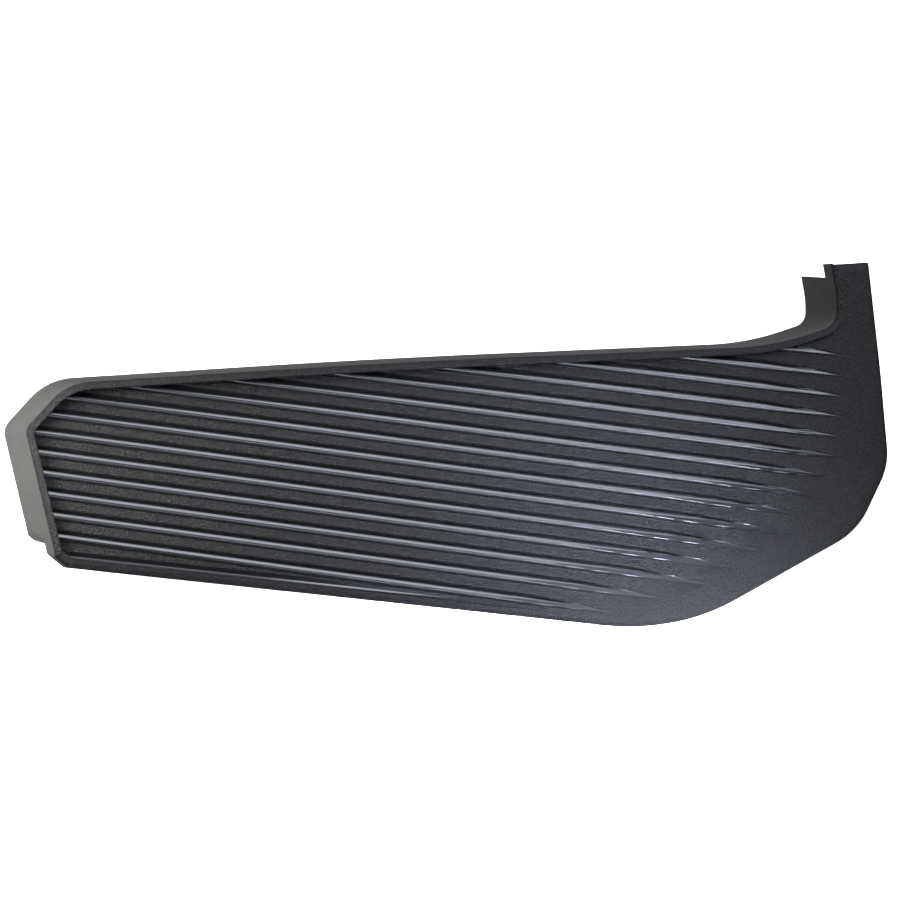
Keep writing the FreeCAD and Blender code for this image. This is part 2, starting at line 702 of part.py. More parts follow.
def make_edge_angle():
    """Aluminium angle inside the outer return, held by screws up into the floor webs."""
    inset, level = size("wall_gauge") + size("angle_clearance"), size("angle_level")
    upright = doc.addObject("Part::Box", "angle_upright")
    bind(upright, Length="dims.angle_length", Width="dims.angle_gauge", Height="dims.angle_leg")
    upright.Placement = edge_angle_frame(0.0, inset, level)
    flat = doc.addObject("Part::Box", "angle_flat")
    bind(flat, Length="dims.angle_length", Width="dims.angle_leg", Height="dims.angle_gauge")
    flat.Placement = edge_angle_frame(0.0, inset, level)
    drills, screws = [], []
    for index in range(ANGLE_SCREW_COUNT):
        along = size("angle_screw_first") + size("angle_screw_pitch") * index
        line = size("wall_gauge") + size("angle_screw_set_in")
        drill_hole = doc.addObject("Part::Cylinder", f"edge_drill_{index}")
        bind(drill_hole, Radius="dims.angle_screw_radius", Height="2 * dims.angle_gauge")
        drill_hole.Placement = edge_angle_frame(along, line, level - 1.0)
        drills.append(drill_hole)
        shank = doc.addObject("Part::Cylinder", f"edge_shank_{index}")
        bind(shank, Radius="dims.angle_screw_radius", Height="dims.angle_screw_top - dims.angle_level + 1")
        shank.Placement = edge_angle_frame(along, line, level - 1.0)
        head = doc.addObject("Part::Cylinder", f"edge_head_{index}")
        bind(head, Radius="dims.angle_head_radius", Height="dims.angle_head_height")
        head.Placement = edge_angle_frame(along, line, level - size("angle_head_height"))
        screws.append(fused(f"edge_screw_{index}", shank, head))
    angle = cut("outer_edge_angle", fused("angle_section", upright, flat), fused("angle_drills", *drills))
    as_node(angle, "outer_edge_angle")
    group("edge_angle_screws", screws)


def make_damping_foam():
    """Foam pads bonded under the floor between the webs."""
    pads = []
    normal = FreeCAD.Vector(-size("floor_slope_along"), -size("floor_slope_across"), 1)
    lean = FreeCAD.Rotation(FreeCAD.Vector(0, 0, 1), normal)
    y = size("foam_line")
    for index, x in enumerate(FOAM_PLACES):
        pad = doc.addObject("Part::Box", f"foam_{index}")
        bind(pad, Length="dims.foam_length", Width="dims.foam_width", Height="dims.foam_gauge")
        level = size("floor_level") + size("floor_slope_along") * x + size("floor_slope_across") * y
        drop = size("floor_gauge") + size("foam_gauge") + size("foam_bond")
        pad.Placement = FreeCAD.Placement(FreeCAD.Vector(x, y, level - drop), lean)
        pads.append(pad)
    group("damping_foam", pads)


make_tread_shell()
make_rail()
for place, step in BRACKET_PLACES.items():
    make_bracket(place, step)
    make_foot_pads(place, step)
make_screw_sets()
make_bolt_sets()
make_rail_caps()
make_end_inserts()
make_sill_clips()
make_edge_angle()
make_damping_foam()
doc.recompute()

for obj in doc.Objects:
    if "Invalid" in obj.State or "Error" in obj.State:
        raise RuntimeError(f"{obj.Name} failed: {obj.State}")
os.makedirs("parts", exist_ok=True)
for node in nodes:
    shape = node.Shape
    if shape.isNull() or not shape.isValid():
        raise RuntimeError(f"{node.Label} is not a valid shape")
    shape.exportStep(f"parts/{node.Label}.step")
    box = shape.BoundBox
    spans = [f"{low:.1f}..{high:.1f}" for low, high in
             ((box.XMin, box.XMax), (box.YMin, box.YMax), (box.ZMin, box.ZMax))]
    print(f"{node.Label}: {len(shape.Solids)} solids, {shape.Volume / 1000:.1f} cm3, spans {spans}")
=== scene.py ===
import math

import bmesh
import bpy
from mathutils import Matrix, Vector


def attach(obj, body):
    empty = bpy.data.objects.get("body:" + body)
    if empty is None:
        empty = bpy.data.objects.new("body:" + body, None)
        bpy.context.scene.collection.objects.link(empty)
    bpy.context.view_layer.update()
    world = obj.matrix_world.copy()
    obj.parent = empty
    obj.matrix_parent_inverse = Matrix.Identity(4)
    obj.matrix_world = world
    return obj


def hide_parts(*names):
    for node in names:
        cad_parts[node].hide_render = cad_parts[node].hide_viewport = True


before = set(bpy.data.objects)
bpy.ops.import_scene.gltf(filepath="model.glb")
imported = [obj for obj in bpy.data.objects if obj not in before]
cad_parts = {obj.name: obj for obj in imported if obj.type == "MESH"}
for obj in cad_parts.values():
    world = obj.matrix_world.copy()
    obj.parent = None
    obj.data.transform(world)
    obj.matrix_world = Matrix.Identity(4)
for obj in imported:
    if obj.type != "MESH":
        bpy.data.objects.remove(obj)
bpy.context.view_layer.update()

# ------------------------------------------------------------------ tread shell
# The board itself: one injection moulding in black polypropylene with a stone grain cut into the
# tool. The tread is dished below a rolled lip and carries fifteen polished ribs, each beside a groove,
# which run out to points in the plain land at the wide end.

MM = 0.001
BOARD_HEIGHT = 48.0
LAND = 47.2                  # the plain land lies just below the lip
WALL_GAUGE = 3.0
WALL_FLARE = 3.6
# the lip, as distance in from the wall and drop from the top: it slopes gently outwards, then rolls in
LIP_SECTION = [(0.15, 2.6), (-0.1, 1.9), (-0.7, 1.35), (-1.8, 0.85), (-3.0, 0.35), (-3.9, 0.0), (-4.4, 0.1)]
ROLL_RADIUS = 6.5            # the outer edge rolls over into a shallow return
RETURN_BOTTOM = 30.0
FLOOR_GAUGE = 3.5
ARC_STEPS = 10

# X, Y, corner radius, and whether the edge that follows is one of the deep walls
OUTLINE = [
    (-291.8, -75.6, 2.5, True),
    (-312.2, 8.3, 7.0, True),
    (-284.0, 38.7, 40.0, True),
    (-50.0, 54.3, 9000.0, True),
    (226.0, 67.2, 220.0, True),
    (274.6, 82.8, 14.0, True),
    (274.2, 103.0, 80.0, True),
    (269.4, 127.3, 1.2, False),
    (300.2, 127.3, 1.5, False),
    (309.5, 52.0, 500.0, False),
    (316.2, -16.0, 45.0, False),
    (292.0, -62.5, 55.0, False),
    (172.0, -123.2, 160.0, False),
    (120.0, -128.6, 180.0, False),
    (-282.3, -83.2, 2.5, False),
]
# line on which the ribs run out, from the vehicle side to the outer edge
TIP_LINE = [
    (276.0, 90.0), (278.5, -10.0), (264.0, -32.0), (232.0, -62.0), (174.0, -98.5), (101.0, -117.5),
    (60.0, -122.0),
]
RIB_COUNT = 15
RIB_TAPER = 62.0             # a rib and its groove narrow to a point over this length
GROOVE_END = 14.0            # the groove has filled up this far short of the rib's point,
GROOVE_FADE = 34.0           # over this length

# Widths and heights across one rib: a narrow ditch, the rib, then a deeper groove towards the vehicle
DITCH_WIDTH, DITCH_DEPTH = 1.2, 0.8
RIB_OUTER, RIB_INNER, RIB_RISE = 1.6, 2.6, 1.45      # the side towards the vehicle is the longer
GROOVE_WIDTH, GROOVE_DEPTH = 2.4, 2.0
# part of the band, height
BAND_SECTION = [(0.03, 0.42), (0.09, 0.55), (0.35, 0.42), (0.65, 0.1), (0.93, -0.2)]


def rib_section():
    """Points across one rib as distance from its crown and height, and which of them lie in the groove."""
    points = []
    for k in range(5):
        part = k / 5
        points.append((-RIB_OUTER - DITCH_WIDTH * (1 - part), -DITCH_DEPTH * math.sin(math.pi * part), False))
    for k in range(11):
        part = k / 5 - 1
        side = RIB_OUTER if part < 0 else RIB_INNER
        points.append((side * part, RIB_RISE * math.cos(math.pi * part / 2), False))
    for k in range(1, 9):
        part = k / 8
        level = -GROOVE_DEPTH * math.sin(math.pi * part) + 0.2 * part
        points.append((RIB_INNER + GROOVE_WIDTH * part, level, True))
    return points


def moved_outline(wall_move, outer_move):
    """The outline with its deep-wall edges and outer edges each moved outwards by their own distance."""
    lines = []
    for index, corner in enumerate(OUTLINE):
        here, after = Vector(corner[:2]), Vector(OUTLINE[(index + 1) % len(OUTLINE)][:2])
        along = (after - here).normalized()
        move = wall_move if corner[3] else outer_move
        lines.append((here + Vector((-along.y, along.x)) * move, along))
    corners = []
    for index, corner in enumerate(OUTLINE):
        (a, along_a), (b, along_b) = lines[index - 1], lines[index]
        cross = along_a.x * along_b.y - along_a.y * along_b.x
        reach = ((b.x - a.x) * along_b.y - (b.y - a.y) * along_b.x) / cross
        move = wall_move if corner[3] else outer_move
        radius = max(corner[2] + (-move if cross > 0 else move), 0.6)
        corners.append((a + along_a * reach, radius))
    return corners


def ring_points(wall_move, outer_move, run_step=9.0):
    """Points round a moved outline: arcs at corners, even steps along runs, the same count for any move."""
    corners = moved_outline(wall_move, outer_move)
    base = moved_outline(0.0, 0.0)
    arcs = []
    for index, (corner, radius) in enumerate(corners):
        back = (corners[index - 1][0] - corner).normalized()
        ahead = (corners[(index + 1) % len(corners)][0] - corner).normalized()
        half = (math.pi - back.angle(ahead)) / 2
        centre = corner + (back + ahead).normalized() * (radius / math.cos(half))
        start = corner + back * radius * math.tan(half) - centre
        sweep = 2 * half if start.x * ahead.y - start.y * ahead.x > 0 else -2 * half
        steps = range(ARC_STEPS + 1)
        arcs.append([centre + Matrix.Rotation(sweep * k / ARC_STEPS, 2) @ start for k in steps])
    points = []
    for index, arc in enumerate(arcs):
        after = arcs[(index + 1) % len(arcs)]
        points += arc
        gap = (base[(index + 1) % len(base)][0] - base[index][0]).length
        count = max(1, round(gap / run_step))
        points += [arc[-1].lerp(after[0], k / count) for k in range(1, count)]
    return points


def wall_share():
    """For each ring point, 1 on the deep walls and 0 on the outer edge."""
    shares = []
    base = moved_outline(0.0, 0.0)
    for index, corner in enumerate(OUTLINE):
        before = OUTLINE[index - 1][3]
        for k in range(ARC_STEPS + 1):
            part = k / ARC_STEPS
            shares.append((1 - part) * before + part * corner[3])
        gap = (base[(index + 1) % len(base)][0] - base[index][0]).length
        shares += [float(corner[3])] * (max(1, round(gap / 9.0)) - 1)
    return shares


def ringed_solid(rings, material_of_ring):
    """Closed mesh through rings of (wall move, wall height, outer move, outer height), bottom first."""
    bm = bmesh.new()
    shares = wall_share()
    loops = []
    for wall_move, wall_z, outer_move, outer_z in rings:
        points = ring_points(wall_move, outer_move)
        verts = [
            bm.verts.new((p.x, p.y, wall_z * share + outer_z * (1 - share)))
            for p, share in zip(points, shares)
        ]
        loops.append([bm.edges.new((verts[k - 1], verts[k])) for k in range(len(verts))])
    for index in range(len(loops) - 1):
        made = bmesh.ops.bridge_loops(bm, edges=loops[index] + loops[index + 1])
        for face in made["faces"]:
            face.material_index = material_of_ring(index)
    for edges in (loops[0], loops[-1]):
        made = bmesh.ops.contextual_create(bm, geom=edges)
        for face in made["faces"]:
            face.material_index = material_of_ring(len(loops) if edges is loops[-1] else 0)
    bmesh.ops.recalc_face_normals(bm, faces=bm.faces)
    return bm


def object_from(bm, name, materials):
    """Mesh object in metres from a bmesh in millimetres."""
    bmesh.ops.scale(bm, vec=(MM, MM, MM), verts=bm.verts)
    mesh = bpy.data.meshes.new(name)
    bm.to_mesh(mesh)
    bm.free()
    for material in materials:
        mesh.materials.append(material)
    obj = bpy.data.objects.new(name, mesh)
    bpy.context.scene.collection.objects.link(obj)
    return obj


def combine(obj, tool, operation, self_overlap=False):
    """Applies an exact boolean and removes the tool."""
    modifier = obj.modifiers.new("combine", "BOOLEAN")
    modifier.operation = operation
    modifier.solver = "EXACT"
    modifier.use_self = self_overlap
    modifier.object = tool
    depsgraph = bpy.context.evaluated_depsgraph_get()
    result = bpy.data.meshes.new_from_object(obj.evaluated_get(depsgraph))
    obj.modifiers.clear()
    obj.data = result
    bpy.data.objects.remove(tool)
    return obj


def linear(hex_colour):
    """sRGB hex to the linear values that a shader takes."""
    values = [int(hex_colour[k:k + 2], 16) / 255 for k in (1, 3, 5)]
    return [v / 12.92 if v <= 0.04045 else ((v + 0.055) / 1.055) ** 2.4 for v in values] + [1.0]


def add_node(tree, kind, settings=None, links=None):
    """Adds a shader node, sets its properties and inputs, and links inputs to other nodes' outputs."""
    node = tree.nodes.new(kind)
    for key, value in (settings or {}).items():
        if isinstance(key, int) or key in node.inputs.keys():
            node.inputs[key].default_value = value
        else:
            setattr(node, key, value)
    for key, (source, output) in (links or {}).items():
        tree.links.new(source.outputs[output], node.inputs[key])
    return node


def new_material(name):
    material = bpy.data.materials.new(name)
    material.use_nodes = True
    material.node_tree.nodes.clear()
    return material, material.node_tree


def close_material(tree, shader):
    add_node(tree, "ShaderNodeOutputMaterial", links={"Surface": (shader, "BSDF")})


def grained_polypropylene():
    """Black polypropylene off a stone-grained tool: pebbles about a millimetre wide with matt valleys, so the
    surface is a dark warm grey that sparkles a little where the pebbles' tops face the light. The colour
    holds painted shade, near black in the valleys, and a painted highlight, warm grey on the pebbles' tops."""
    material, tree = new_material("grained_polypropylene")
    place = add_node(tree, "ShaderNodeTexCoord")
    pebble = add_node(tree, "ShaderNodeTexVoronoi",
                      {"Scale": 1 / (1.15 * MM), "feature": "SMOOTH_F1", "Smoothness": 0.35},
                      {"Vector": (place, "Object")})
    fine = add_node(tree, "ShaderNodeTexNoise", {"Scale": 1 / (0.8 * MM), "Detail": 3.0, "Roughness": 0.65},
                    {"Vector": (place, "Object")})
    cloud = add_node(tree, "ShaderNodeTexNoise", {"Scale": 1 / (45 * MM), "Detail": 4.0, "Roughness": 0.55},
                     {"Vector": (place, "Object")})
    height = add_node(tree, "ShaderNodeMath", {"operation": "MULTIPLY_ADD", 1: -1.0},
                      {0: (pebble, "Distance"), 2: (fine, 0)})
    bump = add_node(tree, "ShaderNodeBump", {"Strength": 1.0, "Distance": 0.6 * MM}, {"Height": (height, 0)})
    # painted shade and highlight: the pebbles' height darkens the colour to near black in the valleys and
    # lightens it to warm grey on the tops; it also sets the roughness
    relief_and_painted_shade = add_node(tree, "ShaderNodeMapRange", {"From Min": -0.15, "From Max": 0.45}, {"Value": (height, 0)})
    colour = add_node(tree, "ShaderNodeMix",
                      {"data_type": "RGBA", 6: linear("#030303"), 7: linear("#1d1b19")},
                      {0: (relief_and_painted_shade, "Result")})
    worn = add_node(tree, "ShaderNodeMix", {"data_type": "RGBA", "blend_type": "MULTIPLY", 0: 0.3},
                    {6: (colour, 2), 7: (cloud, "Color")})
    rough = add_node(tree, "ShaderNodeMapRange", {"To Min": 0.60, "To Max": 0.42},
                     {"Value": (relief_and_painted_shade, "Result")})
    shader = add_node(tree, "ShaderNodeBsdfPrincipled", {"IOR": 1.49, "Specular IOR Level": 0.24},
                      {"Base Color": (worn, 2), "Roughness": (rough, "Result"), "Normal": (bump, "Normal")})
    close_material(tree, shader)
    return material


def polished_polypropylene():
    """The same plastic off a polished part of the tool: the ribs and grooves have an even, soft gloss."""
    material, tree = new_material("polished_polypropylene")
    place = add_node(tree, "ShaderNodeTexCoord")
    drag = add_node(tree, "ShaderNodeTexNoise", {"Scale": 1 / (9 * MM), "Detail": 2.0},
                    {"Vector": (place, "Object")})
    bump = add_node(tree, "ShaderNodeBump", {"Strength": 0.1, "Distance": 0.05 * MM}, {"Height": (drag, 0)})
    rough = add_node(tree, "ShaderNodeMapRange", {"To Min": 0.27, "To Max": 0.35}, {"Value": (drag, 0)})
    shader = add_node(tree, "ShaderNodeBsdfPrincipled", {"Base Color": linear("#08090a"), "IOR": 1.56},
                      {"Roughness": (rough, "Result"), "Normal": (bump, "Normal")})
    close_material(tree, shader)
    return material


def smooth_polypropylene():
    """Ungrained walls: an even satin with the faint streaks of a wall that is drawn from the tool."""
    material, tree = new_material("smooth_polypropylene")
    place = add_node(tree, "ShaderNodeTexCoord")
    stretch = add_node(tree, "ShaderNodeMapping", {"Scale": (1.0, 1.0, 0.12)}, {"Vector": (place, "Object")})
    streak = add_node(tree, "ShaderNodeTexNoise", {"Scale": 1 / (2.5 * MM), "Detail": 4.0},
                      {"Vector": (stretch, "Vector")})
    cloud = add_node(tree, "ShaderNodeTexNoise", {"Scale": 1 / (30 * MM), "Detail": 3.0},
                     {"Vector": (place, "Object")})
    bump = add_node(tree, "ShaderNodeBump", {"Strength": 0.25, "Distance": 0.05 * MM},
                    {"Height": (streak, 0)})
    colour = add_node(tree, "ShaderNodeMix",
                      {"data_type": "RGBA", 6: linear("#2e2e2c"), 7: linear("#3a3a37")},
                      {0: (cloud, 0)})
    rough = add_node(tree, "ShaderNodeMapRange", {"To Min": 0.42, "To Max": 0.54}, {"Value": (streak, 0)})
    shader = add_node(tree, "ShaderNodeBsdfPrincipled", {"IOR": 1.49},
                      {"Base Color": (colour, 2), "Roughness": (rough, "Result"), "Normal": (bump, "Normal")})
    close_material(tree, shader)
    return material


GRAINED, POLISHED, SMOOTH = 0, 1, 2
shell_materials = [grained_polypropylene(), polished_polypropylene(), smooth_polypropylene()]


def rib_y(number, x):
    """Y of a rib's crown at X; whole numbers are ribs, counted from the outer edge, on a closing fan."""
    front = -61.3 + 13.75 * number - 0.06 * number ** 2
    rear = -141.1 + 14.48 * number
    return front + (rear - front) * (x + 300.0) / 575.0


def rib_end(number):
    """X at which a rib runs out."""
    for (ax, ay), (bx, by) in zip(TIP_LINE, TIP_LINE[1:]):
        gap_a, gap_b = ay - rib_y(number, ax), by - rib_y(number, bx)
        if gap_a * gap_b <= 0:
            return ax + (bx - ax) * gap_a / (gap_a - gap_b)
    return -400.0


def floor_height(x, y):
    """Dish floor: a plane that falls to the narrow end and the vehicle, and runs up at the wide end."""
    plane = 42.2 + 0.0157 * x - 0.0316 * y
    ramp = LAND + 0.06 * (x - 288.0)
    blend = 1.2
    return plane + blend * math.log1p(math.exp((ramp - plane) / blend))


def tread_rows():
    """Rows across the tread: rib number, distance in the rib's section or part of the band, height, kind."""
    rows = []
    for number in range(-2, 17):
        for distance, height, in_groove in rib_section():
            rows.append((number, distance, height, "groove" if in_groove else "rib"))
        rows += [(number, part, height, "band") for part, height in BAND_SECTION]
    return rows


def tread_columns():
    """X of the columns: wide steps along the plain run of the ribs, and fine ones where they run out."""
    columns = [-318.0 + 12.0 * k for k in range(30)]
    columns += [columns[-1] + 2.5 * k for k in range(1, 103)]
    columns += [columns[-1] + 10.0 * k for k in range(1, 4)]
    return columns


def to_point(number, x):
    """How far a rib still runs beyond X; ribs that aren't there have none left."""
    return rib_end(number) - x if 0 <= number < RIB_COUNT else -1.0


def tread_point(row, x):
    number, distance, height, kind = row
    left = to_point(number, x)
    part = min(max(left / RIB_TAPER, 0.0), 1.0)
    width, depth = max(part ** 0.65, 0.03), part ** 0.4
    band_start = RIB_INNER + GROOVE_WIDTH
    if kind == "band":
        next_part = min(max(to_point(number + 1, x) / RIB_TAPER, 0.0), 1.0)
        next_width = max(next_part ** 0.65, 0.03)
        low = band_start * width
        high = rib_y(number + 1, x) - rib_y(number, x) - (RIB_OUTER + DITCH_WIDTH) * next_width
        y = rib_y(number, x) + low + (high - low) * distance
        return y, min(floor_height(x, y) + height * depth, LAND + 0.5)
    if distance > 0:
        # near its end the groove fills up to a straight slope from the rib's crown to the band
        open_part = min(max((left - GROOVE_END) / GROOVE_FADE, 0.0), 1.0)
        slope = RIB_RISE - (RIB_RISE + 0.9) * distance / band_start
        height = slope + (height - slope) * open_part * open_part * (3 - 2 * open_part)
    y = rib_y(number, x) + distance * width
    base = min(floor_height(x, y), LAND)
    return y, min(base + height * depth, LAND - 0.1 if part > 0 else LAND + 0.3)


def tread_cutter():
    """Everything above the ribbed tread, as a closed block."""
    rows, columns = tread_rows(), tread_columns()
    bm = bmesh.new()
    bmesh.ops.create_grid(bm, x_segments=len(columns) - 1, y_segments=len(rows) - 1, size=1.0)
    for vert in bm.verts:
        column = round((vert.co.x + 1) / 2 * (len(columns) - 1))
        row = round((vert.co.y + 1) / 2 * (len(rows) - 1))
        y, z = tread_point(rows[row], columns[column])
        vert.index = row
        vert.co = (columns[column], y, z)
    for face in bm.faces:
        low_row = min(vert.index for vert in face.verts)
        high_row = max(vert.index for vert in face.verts)
        in_rib = rows[low_row][3] != "band" and rows[high_row][3] != "band"
        face.material_index = POLISHED if in_rib else GRAINED
    raised = bmesh.ops.extrude_face_region(bm, geom=bm.faces[:], use_keep_orig=True)
    for vert in [g for g in raised["geom"] if isinstance(g, bmesh.types.BMVert)]:
        vert.co.z = 56.0
    bmesh.ops.recalc_face_normals(bm, faces=bm.faces)
    return object_from(bm, "tread_cutter", shell_materials)


def hollow_top():
    """Everything below the underside of the floor, as a closed block."""
    bm = bmesh.new()
    bmesh.ops.create_grid(bm, x_segments=64, y_segments=26, size=1.0)
    for vert in bm.verts:
        x, y = vert.co.x * 330.0, vert.co.y * 140.0
        vert.co = (x, y, min(floor_height(x, y), LAND) - FLOOR_GAUGE)
    raised = bmesh.ops.extrude_face_region(bm, geom=bm.faces[:], use_keep_orig=True)
    for vert in [g for g in raised["geom"] if isinstance(g, bmesh.types.BMVert)]:
        vert.co.z = -4.0
    bmesh.ops.recalc_face_normals(bm, faces=bm.faces)
    return object_from(bm, "hollow_top", shell_materials)


def blank_rings():
    """Rings of the outside skin, from the foot of the walls over the lip and the rolled edge to the land."""
    rings = [(WALL_FLARE, 0.0, 0.0, 0.0), (0.3, 44.6, 0.0, 40.2)]
    for k, (lip_move, lip_drop) in enumerate(LIP_SECTION):
        roll = math.radians(15.0 * k)
        rings.append((
            lip_move, BOARD_HEIGHT - lip_drop,
            ROLL_RADIUS * (math.cos(roll) - 1), LAND - ROLL_RADIUS * (1 - math.sin(roll)),
        ))
    rings.append((-4.9, LAND + 0.02, -8.0, LAND))
    rings.append((-5.4, LAND, -9.5, LAND))
    return rings


shell = object_from(
    ringed_solid(blank_rings(), lambda index: SMOOTH if index < 2 else GRAINED), "moulded_tread_shell",
    shell_materials
)

hollow_rings = [
    (WALL_FLARE - WALL_GAUGE, -3.0, -WALL_GAUGE, -3.0),
    (-2.7, 38.0, -WALL_GAUGE, 38.0),
    (-2.9, 41.5, -4.5, 41.5),
    (-3.1, 47.0, -8.0, 44.5),
]
hollow = object_from(ringed_solid(hollow_rings, lambda index: SMOOTH), "hollow", shell_materials)
combine(hollow, hollow_top(), "INTERSECT")
combine(shell, hollow, "DIFFERENCE")

dish_rings = [
    (-5.3, 25.0, -6.2, 25.0), (-5.1, 44.5, -6.1, 43.0), (-4.95, 46.9, -6.0, 45.6),
    (-4.7, 47.6, -5.6, 46.6), (-4.3, 48.05, -5.0, 47.4), (-4.0, 52.0, -4.0, 52.0),
]
dish = object_from(ringed_solid(dish_rings, lambda index: GRAINED), "dish", shell_materials)
combine(dish, tread_cutter(), "INTERSECT")
combine(shell, dish, "DIFFERENCE")

EDGE_FROM, EDGE_TO = Vector(OUTLINE[-1][:2]), Vector(OUTLINE[-2][:2])


def outer_line(x):
    """Y of the straight outer edge at X."""
    return EDGE_FROM.y + (x - EDGE_FROM.x) * (EDGE_TO.y - EDGE_FROM.y) / (EDGE_TO.x - EDGE_FROM.x)


def drain_groove():
    """The groove inside the outer lip, which carries water to the narrow end and runs out along the board."""
    section = [(6.3, 0.0), (6.9, -1.0), (8.0, -1.7), (9.3, -1.5), (10.6, -0.6), (12.0, 0.9), (13.2, 2.4),
               (6.2, 2.4)]
    bm = bmesh.new()
    loops = []
    for x, lift in ((-281.0, 0.0), (-150.0, 0.0), (20.0, 1.9)):
        level = floor_height(x, outer_line(x) + 9.0) + lift
        verts = [bm.verts.new((x, outer_line(x) + inset, level + height)) for inset, height in section]
        loops.append([bm.edges.new((verts[k - 1], verts[k])) for k in range(len(verts))])
    for before, after in zip(loops, loops[1:]):
        bmesh.ops.bridge_loops(bm, edges=before + after)
    for edges in (loops[0], loops[-1]):
        bmesh.ops.contextual_create(bm, geom=edges)
    for face in bm.faces:
        face.material_index = POLISHED
    bmesh.ops.recalc_face_normals(bm, faces=bm.faces)
    return object_from(bm, "drain_groove", shell_materials)


combine(shell, drain_groove(), "DIFFERENCE")


def block(bm, low, high):
    """A box between two corners, in millimetres."""
    size = Vector(high) - Vector(low)
    middle = (Vector(high) + Vector(low)) / 2
    bmesh.ops.create_cube(bm, size=1.0, matrix=Matrix.Translation(middle) @ Matrix.Diagonal((*size, 1.0)))


def cylinder(bm, x, y, low, high, radius, segments=48):
    middle = Matrix.Translation((x, y, (low + high) / 2))
    bmesh.ops.create_cone(
        bm, cap_ends=True, segments=segments, radius1=radius, radius2=radius, depth=high - low, matrix=middle
    )


def wall_line(x):
    """Y of the vehicle-side lip at X."""
    (ax, ay), (bx, by), (cx, cy) = OUTLINE[2][:2], OUTLINE[3][:2], OUTLINE[4][:2]
    return ay + (x - ax) * (by - ay) / (bx - ax) if x < bx else by + (x - bx) * (cy - by) / (cx - bx)


def underside(x, y):
    return min(floor_height(x, y), LAND) - FLOOR_GAUGE


def low_edge_trims():
    """What is taken off below the shallow return, at the end wall's stepped foot and the upright's tab."""
    bm = bmesh.new()
    block(bm, (-400, -200, -2), (400, 200, RETURN_BOTTOM))
    trims = object_from(bm, "trims", shell_materials)
    keep = object_from(
        ringed_solid([(12.0, -5.0, -6.0, -5.0), (12.0, 40.0, -6.0, 40.0)], lambda index: SMOOTH), "keep",
        shell_materials
    )
    return combine(trims, keep, "DIFFERENCE")


def across_block(profile, start, length):
    """A block along X whose section is given as Y and Z."""
    bm = bmesh.new()
    face = bmesh.ops.contextual_create(bm, geom=[bm.verts.new((start, y, z)) for y, z in profile])["faces"]
    raised = bmesh.ops.extrude_face_region(bm, geom=face, use_keep_orig=True)
    moved = [g for g in raised["geom"] if isinstance(g, bmesh.types.BMVert)]
    bmesh.ops.translate(bm, verts=moved, vec=(length, 0, 0))
    bmesh.ops.recalc_face_normals(bm, faces=bm.faces)
    return object_from(bm, "across_block", shell_materials)


combine(shell, low_edge_trims(), "DIFFERENCE")
END_WALL_FOOT = [(-66.3, -2.0), (-71.2, 24.0), (-75.3, 30.0), (-110.0, 30.0), (-110.0, -2.0)]
TAB_FOOT = [(118.6, -2.0), (118.5, 0.0), (116.3, 34.0), (148.5, 34.0), (148.5, -2.0)]
combine(shell, across_block(END_WALL_FOOT, -330.0, 60.0), "DIFFERENCE")
combine(shell, across_block(TAB_FOOT, 258.0, 60.0), "DIFFERENCE")

# Under the floor: a lattice of thin webs, a boss over each screw and fixing, and ribs for the spring clips.
WEB_GAUGE = 2.0
WEB_BOTTOM = 29.0
BOSS_RADIUS = 7.0
BOSS_BOTTOM = 24.0
FIXING_BOTTOM = 12.0
INTO_FLOOR = 1.2
SCREW_LINE = -22.0
SCREW_PLACES = [-234.0 + 92.0 * index for index in range(6)]
FIXINGS = [(286.0, 96.0), (-290.0, -20.0)]
CLIP_PLACES = [-220.0 + 100.0 * index for index in range(5)]


def web(bm, start, end, bottom):
    """A thin upright web whose top follows the underside of the floor."""
    made = bmesh.ops.create_grid(bm, x_segments=48, y_segments=1, size=1.0)
    start, end = Vector(start), Vector(end)
    for vert in made["verts"]:
        place = start.lerp(end, (vert.co.x + 1) / 2)
        top = underside(place.x, place.y) + INTO_FLOOR
        vert.co = (place.x, place.y, top if vert.co.y > 0 else bottom)
    faces = list({face for vert in made["verts"] for face in vert.link_faces})
    raised = bmesh.ops.extrude_face_region(bm, geom=faces, use_keep_orig=True)
    thick = [g for g in raised["geom"] if isinstance(g, bmesh.types.BMVert)]
    across = Vector((start.y - end.y, end.x - start.x, 0.0)).normalized() * WEB_GAUGE
    bmesh.ops.translate(bm, verts=thick, vec=across)


def add_stiffening(bm):
    """Trims a group of webs or bosses to the inside of the shell and joins them to it."""
    for face in bm.faces:
        face.material_index = SMOOTH
    bmesh.ops.recalc_face_normals(bm, faces=bm.faces)
    rings = [(1.0 + wall, low, 1.0 + outer, low_outer) for wall, low, outer, low_outer in hollow_rings]
    wider = object_from(ringed_solid(rings, lambda index: SMOOTH), "wider", shell_materials)
    combine(shell, combine(object_from(bm, "stiffening", shell_materials), wider, "INTERSECT"), "UNION")


bm = bmesh.new()
for y in (-57.0, 15.0):
    web(bm, (-300, y), (310, y), WEB_BOTTOM)
add_stiffening(bm)
bm = bmesh.new()
for index in range(8):
    web(bm, (-263.0 + 72.0 * index, -125), (-263.0 + 72.0 * index, 100), WEB_BOTTOM - 0.15)
add_stiffening(bm)
bm = bmesh.new()
for x in CLIP_PLACES:
    top = underside(x, wall_line(x) - 8) + INTO_FLOOR
    block(bm, (x - 1.5, wall_line(x) - 15, 6.0), (x + 1.5, wall_line(x) + 6, top))
for x in SCREW_PLACES:
    cylinder(bm, x, SCREW_LINE, BOSS_BOTTOM, underside(x, SCREW_LINE) + INTO_FLOOR, BOSS_RADIUS)
for x, y in FIXINGS:
    cylinder(bm, x, y, FIXING_BOTTOM, underside(x, y) + INTO_FLOOR, BOSS_RADIUS)
add_stiffening(bm)
bm = bmesh.new()
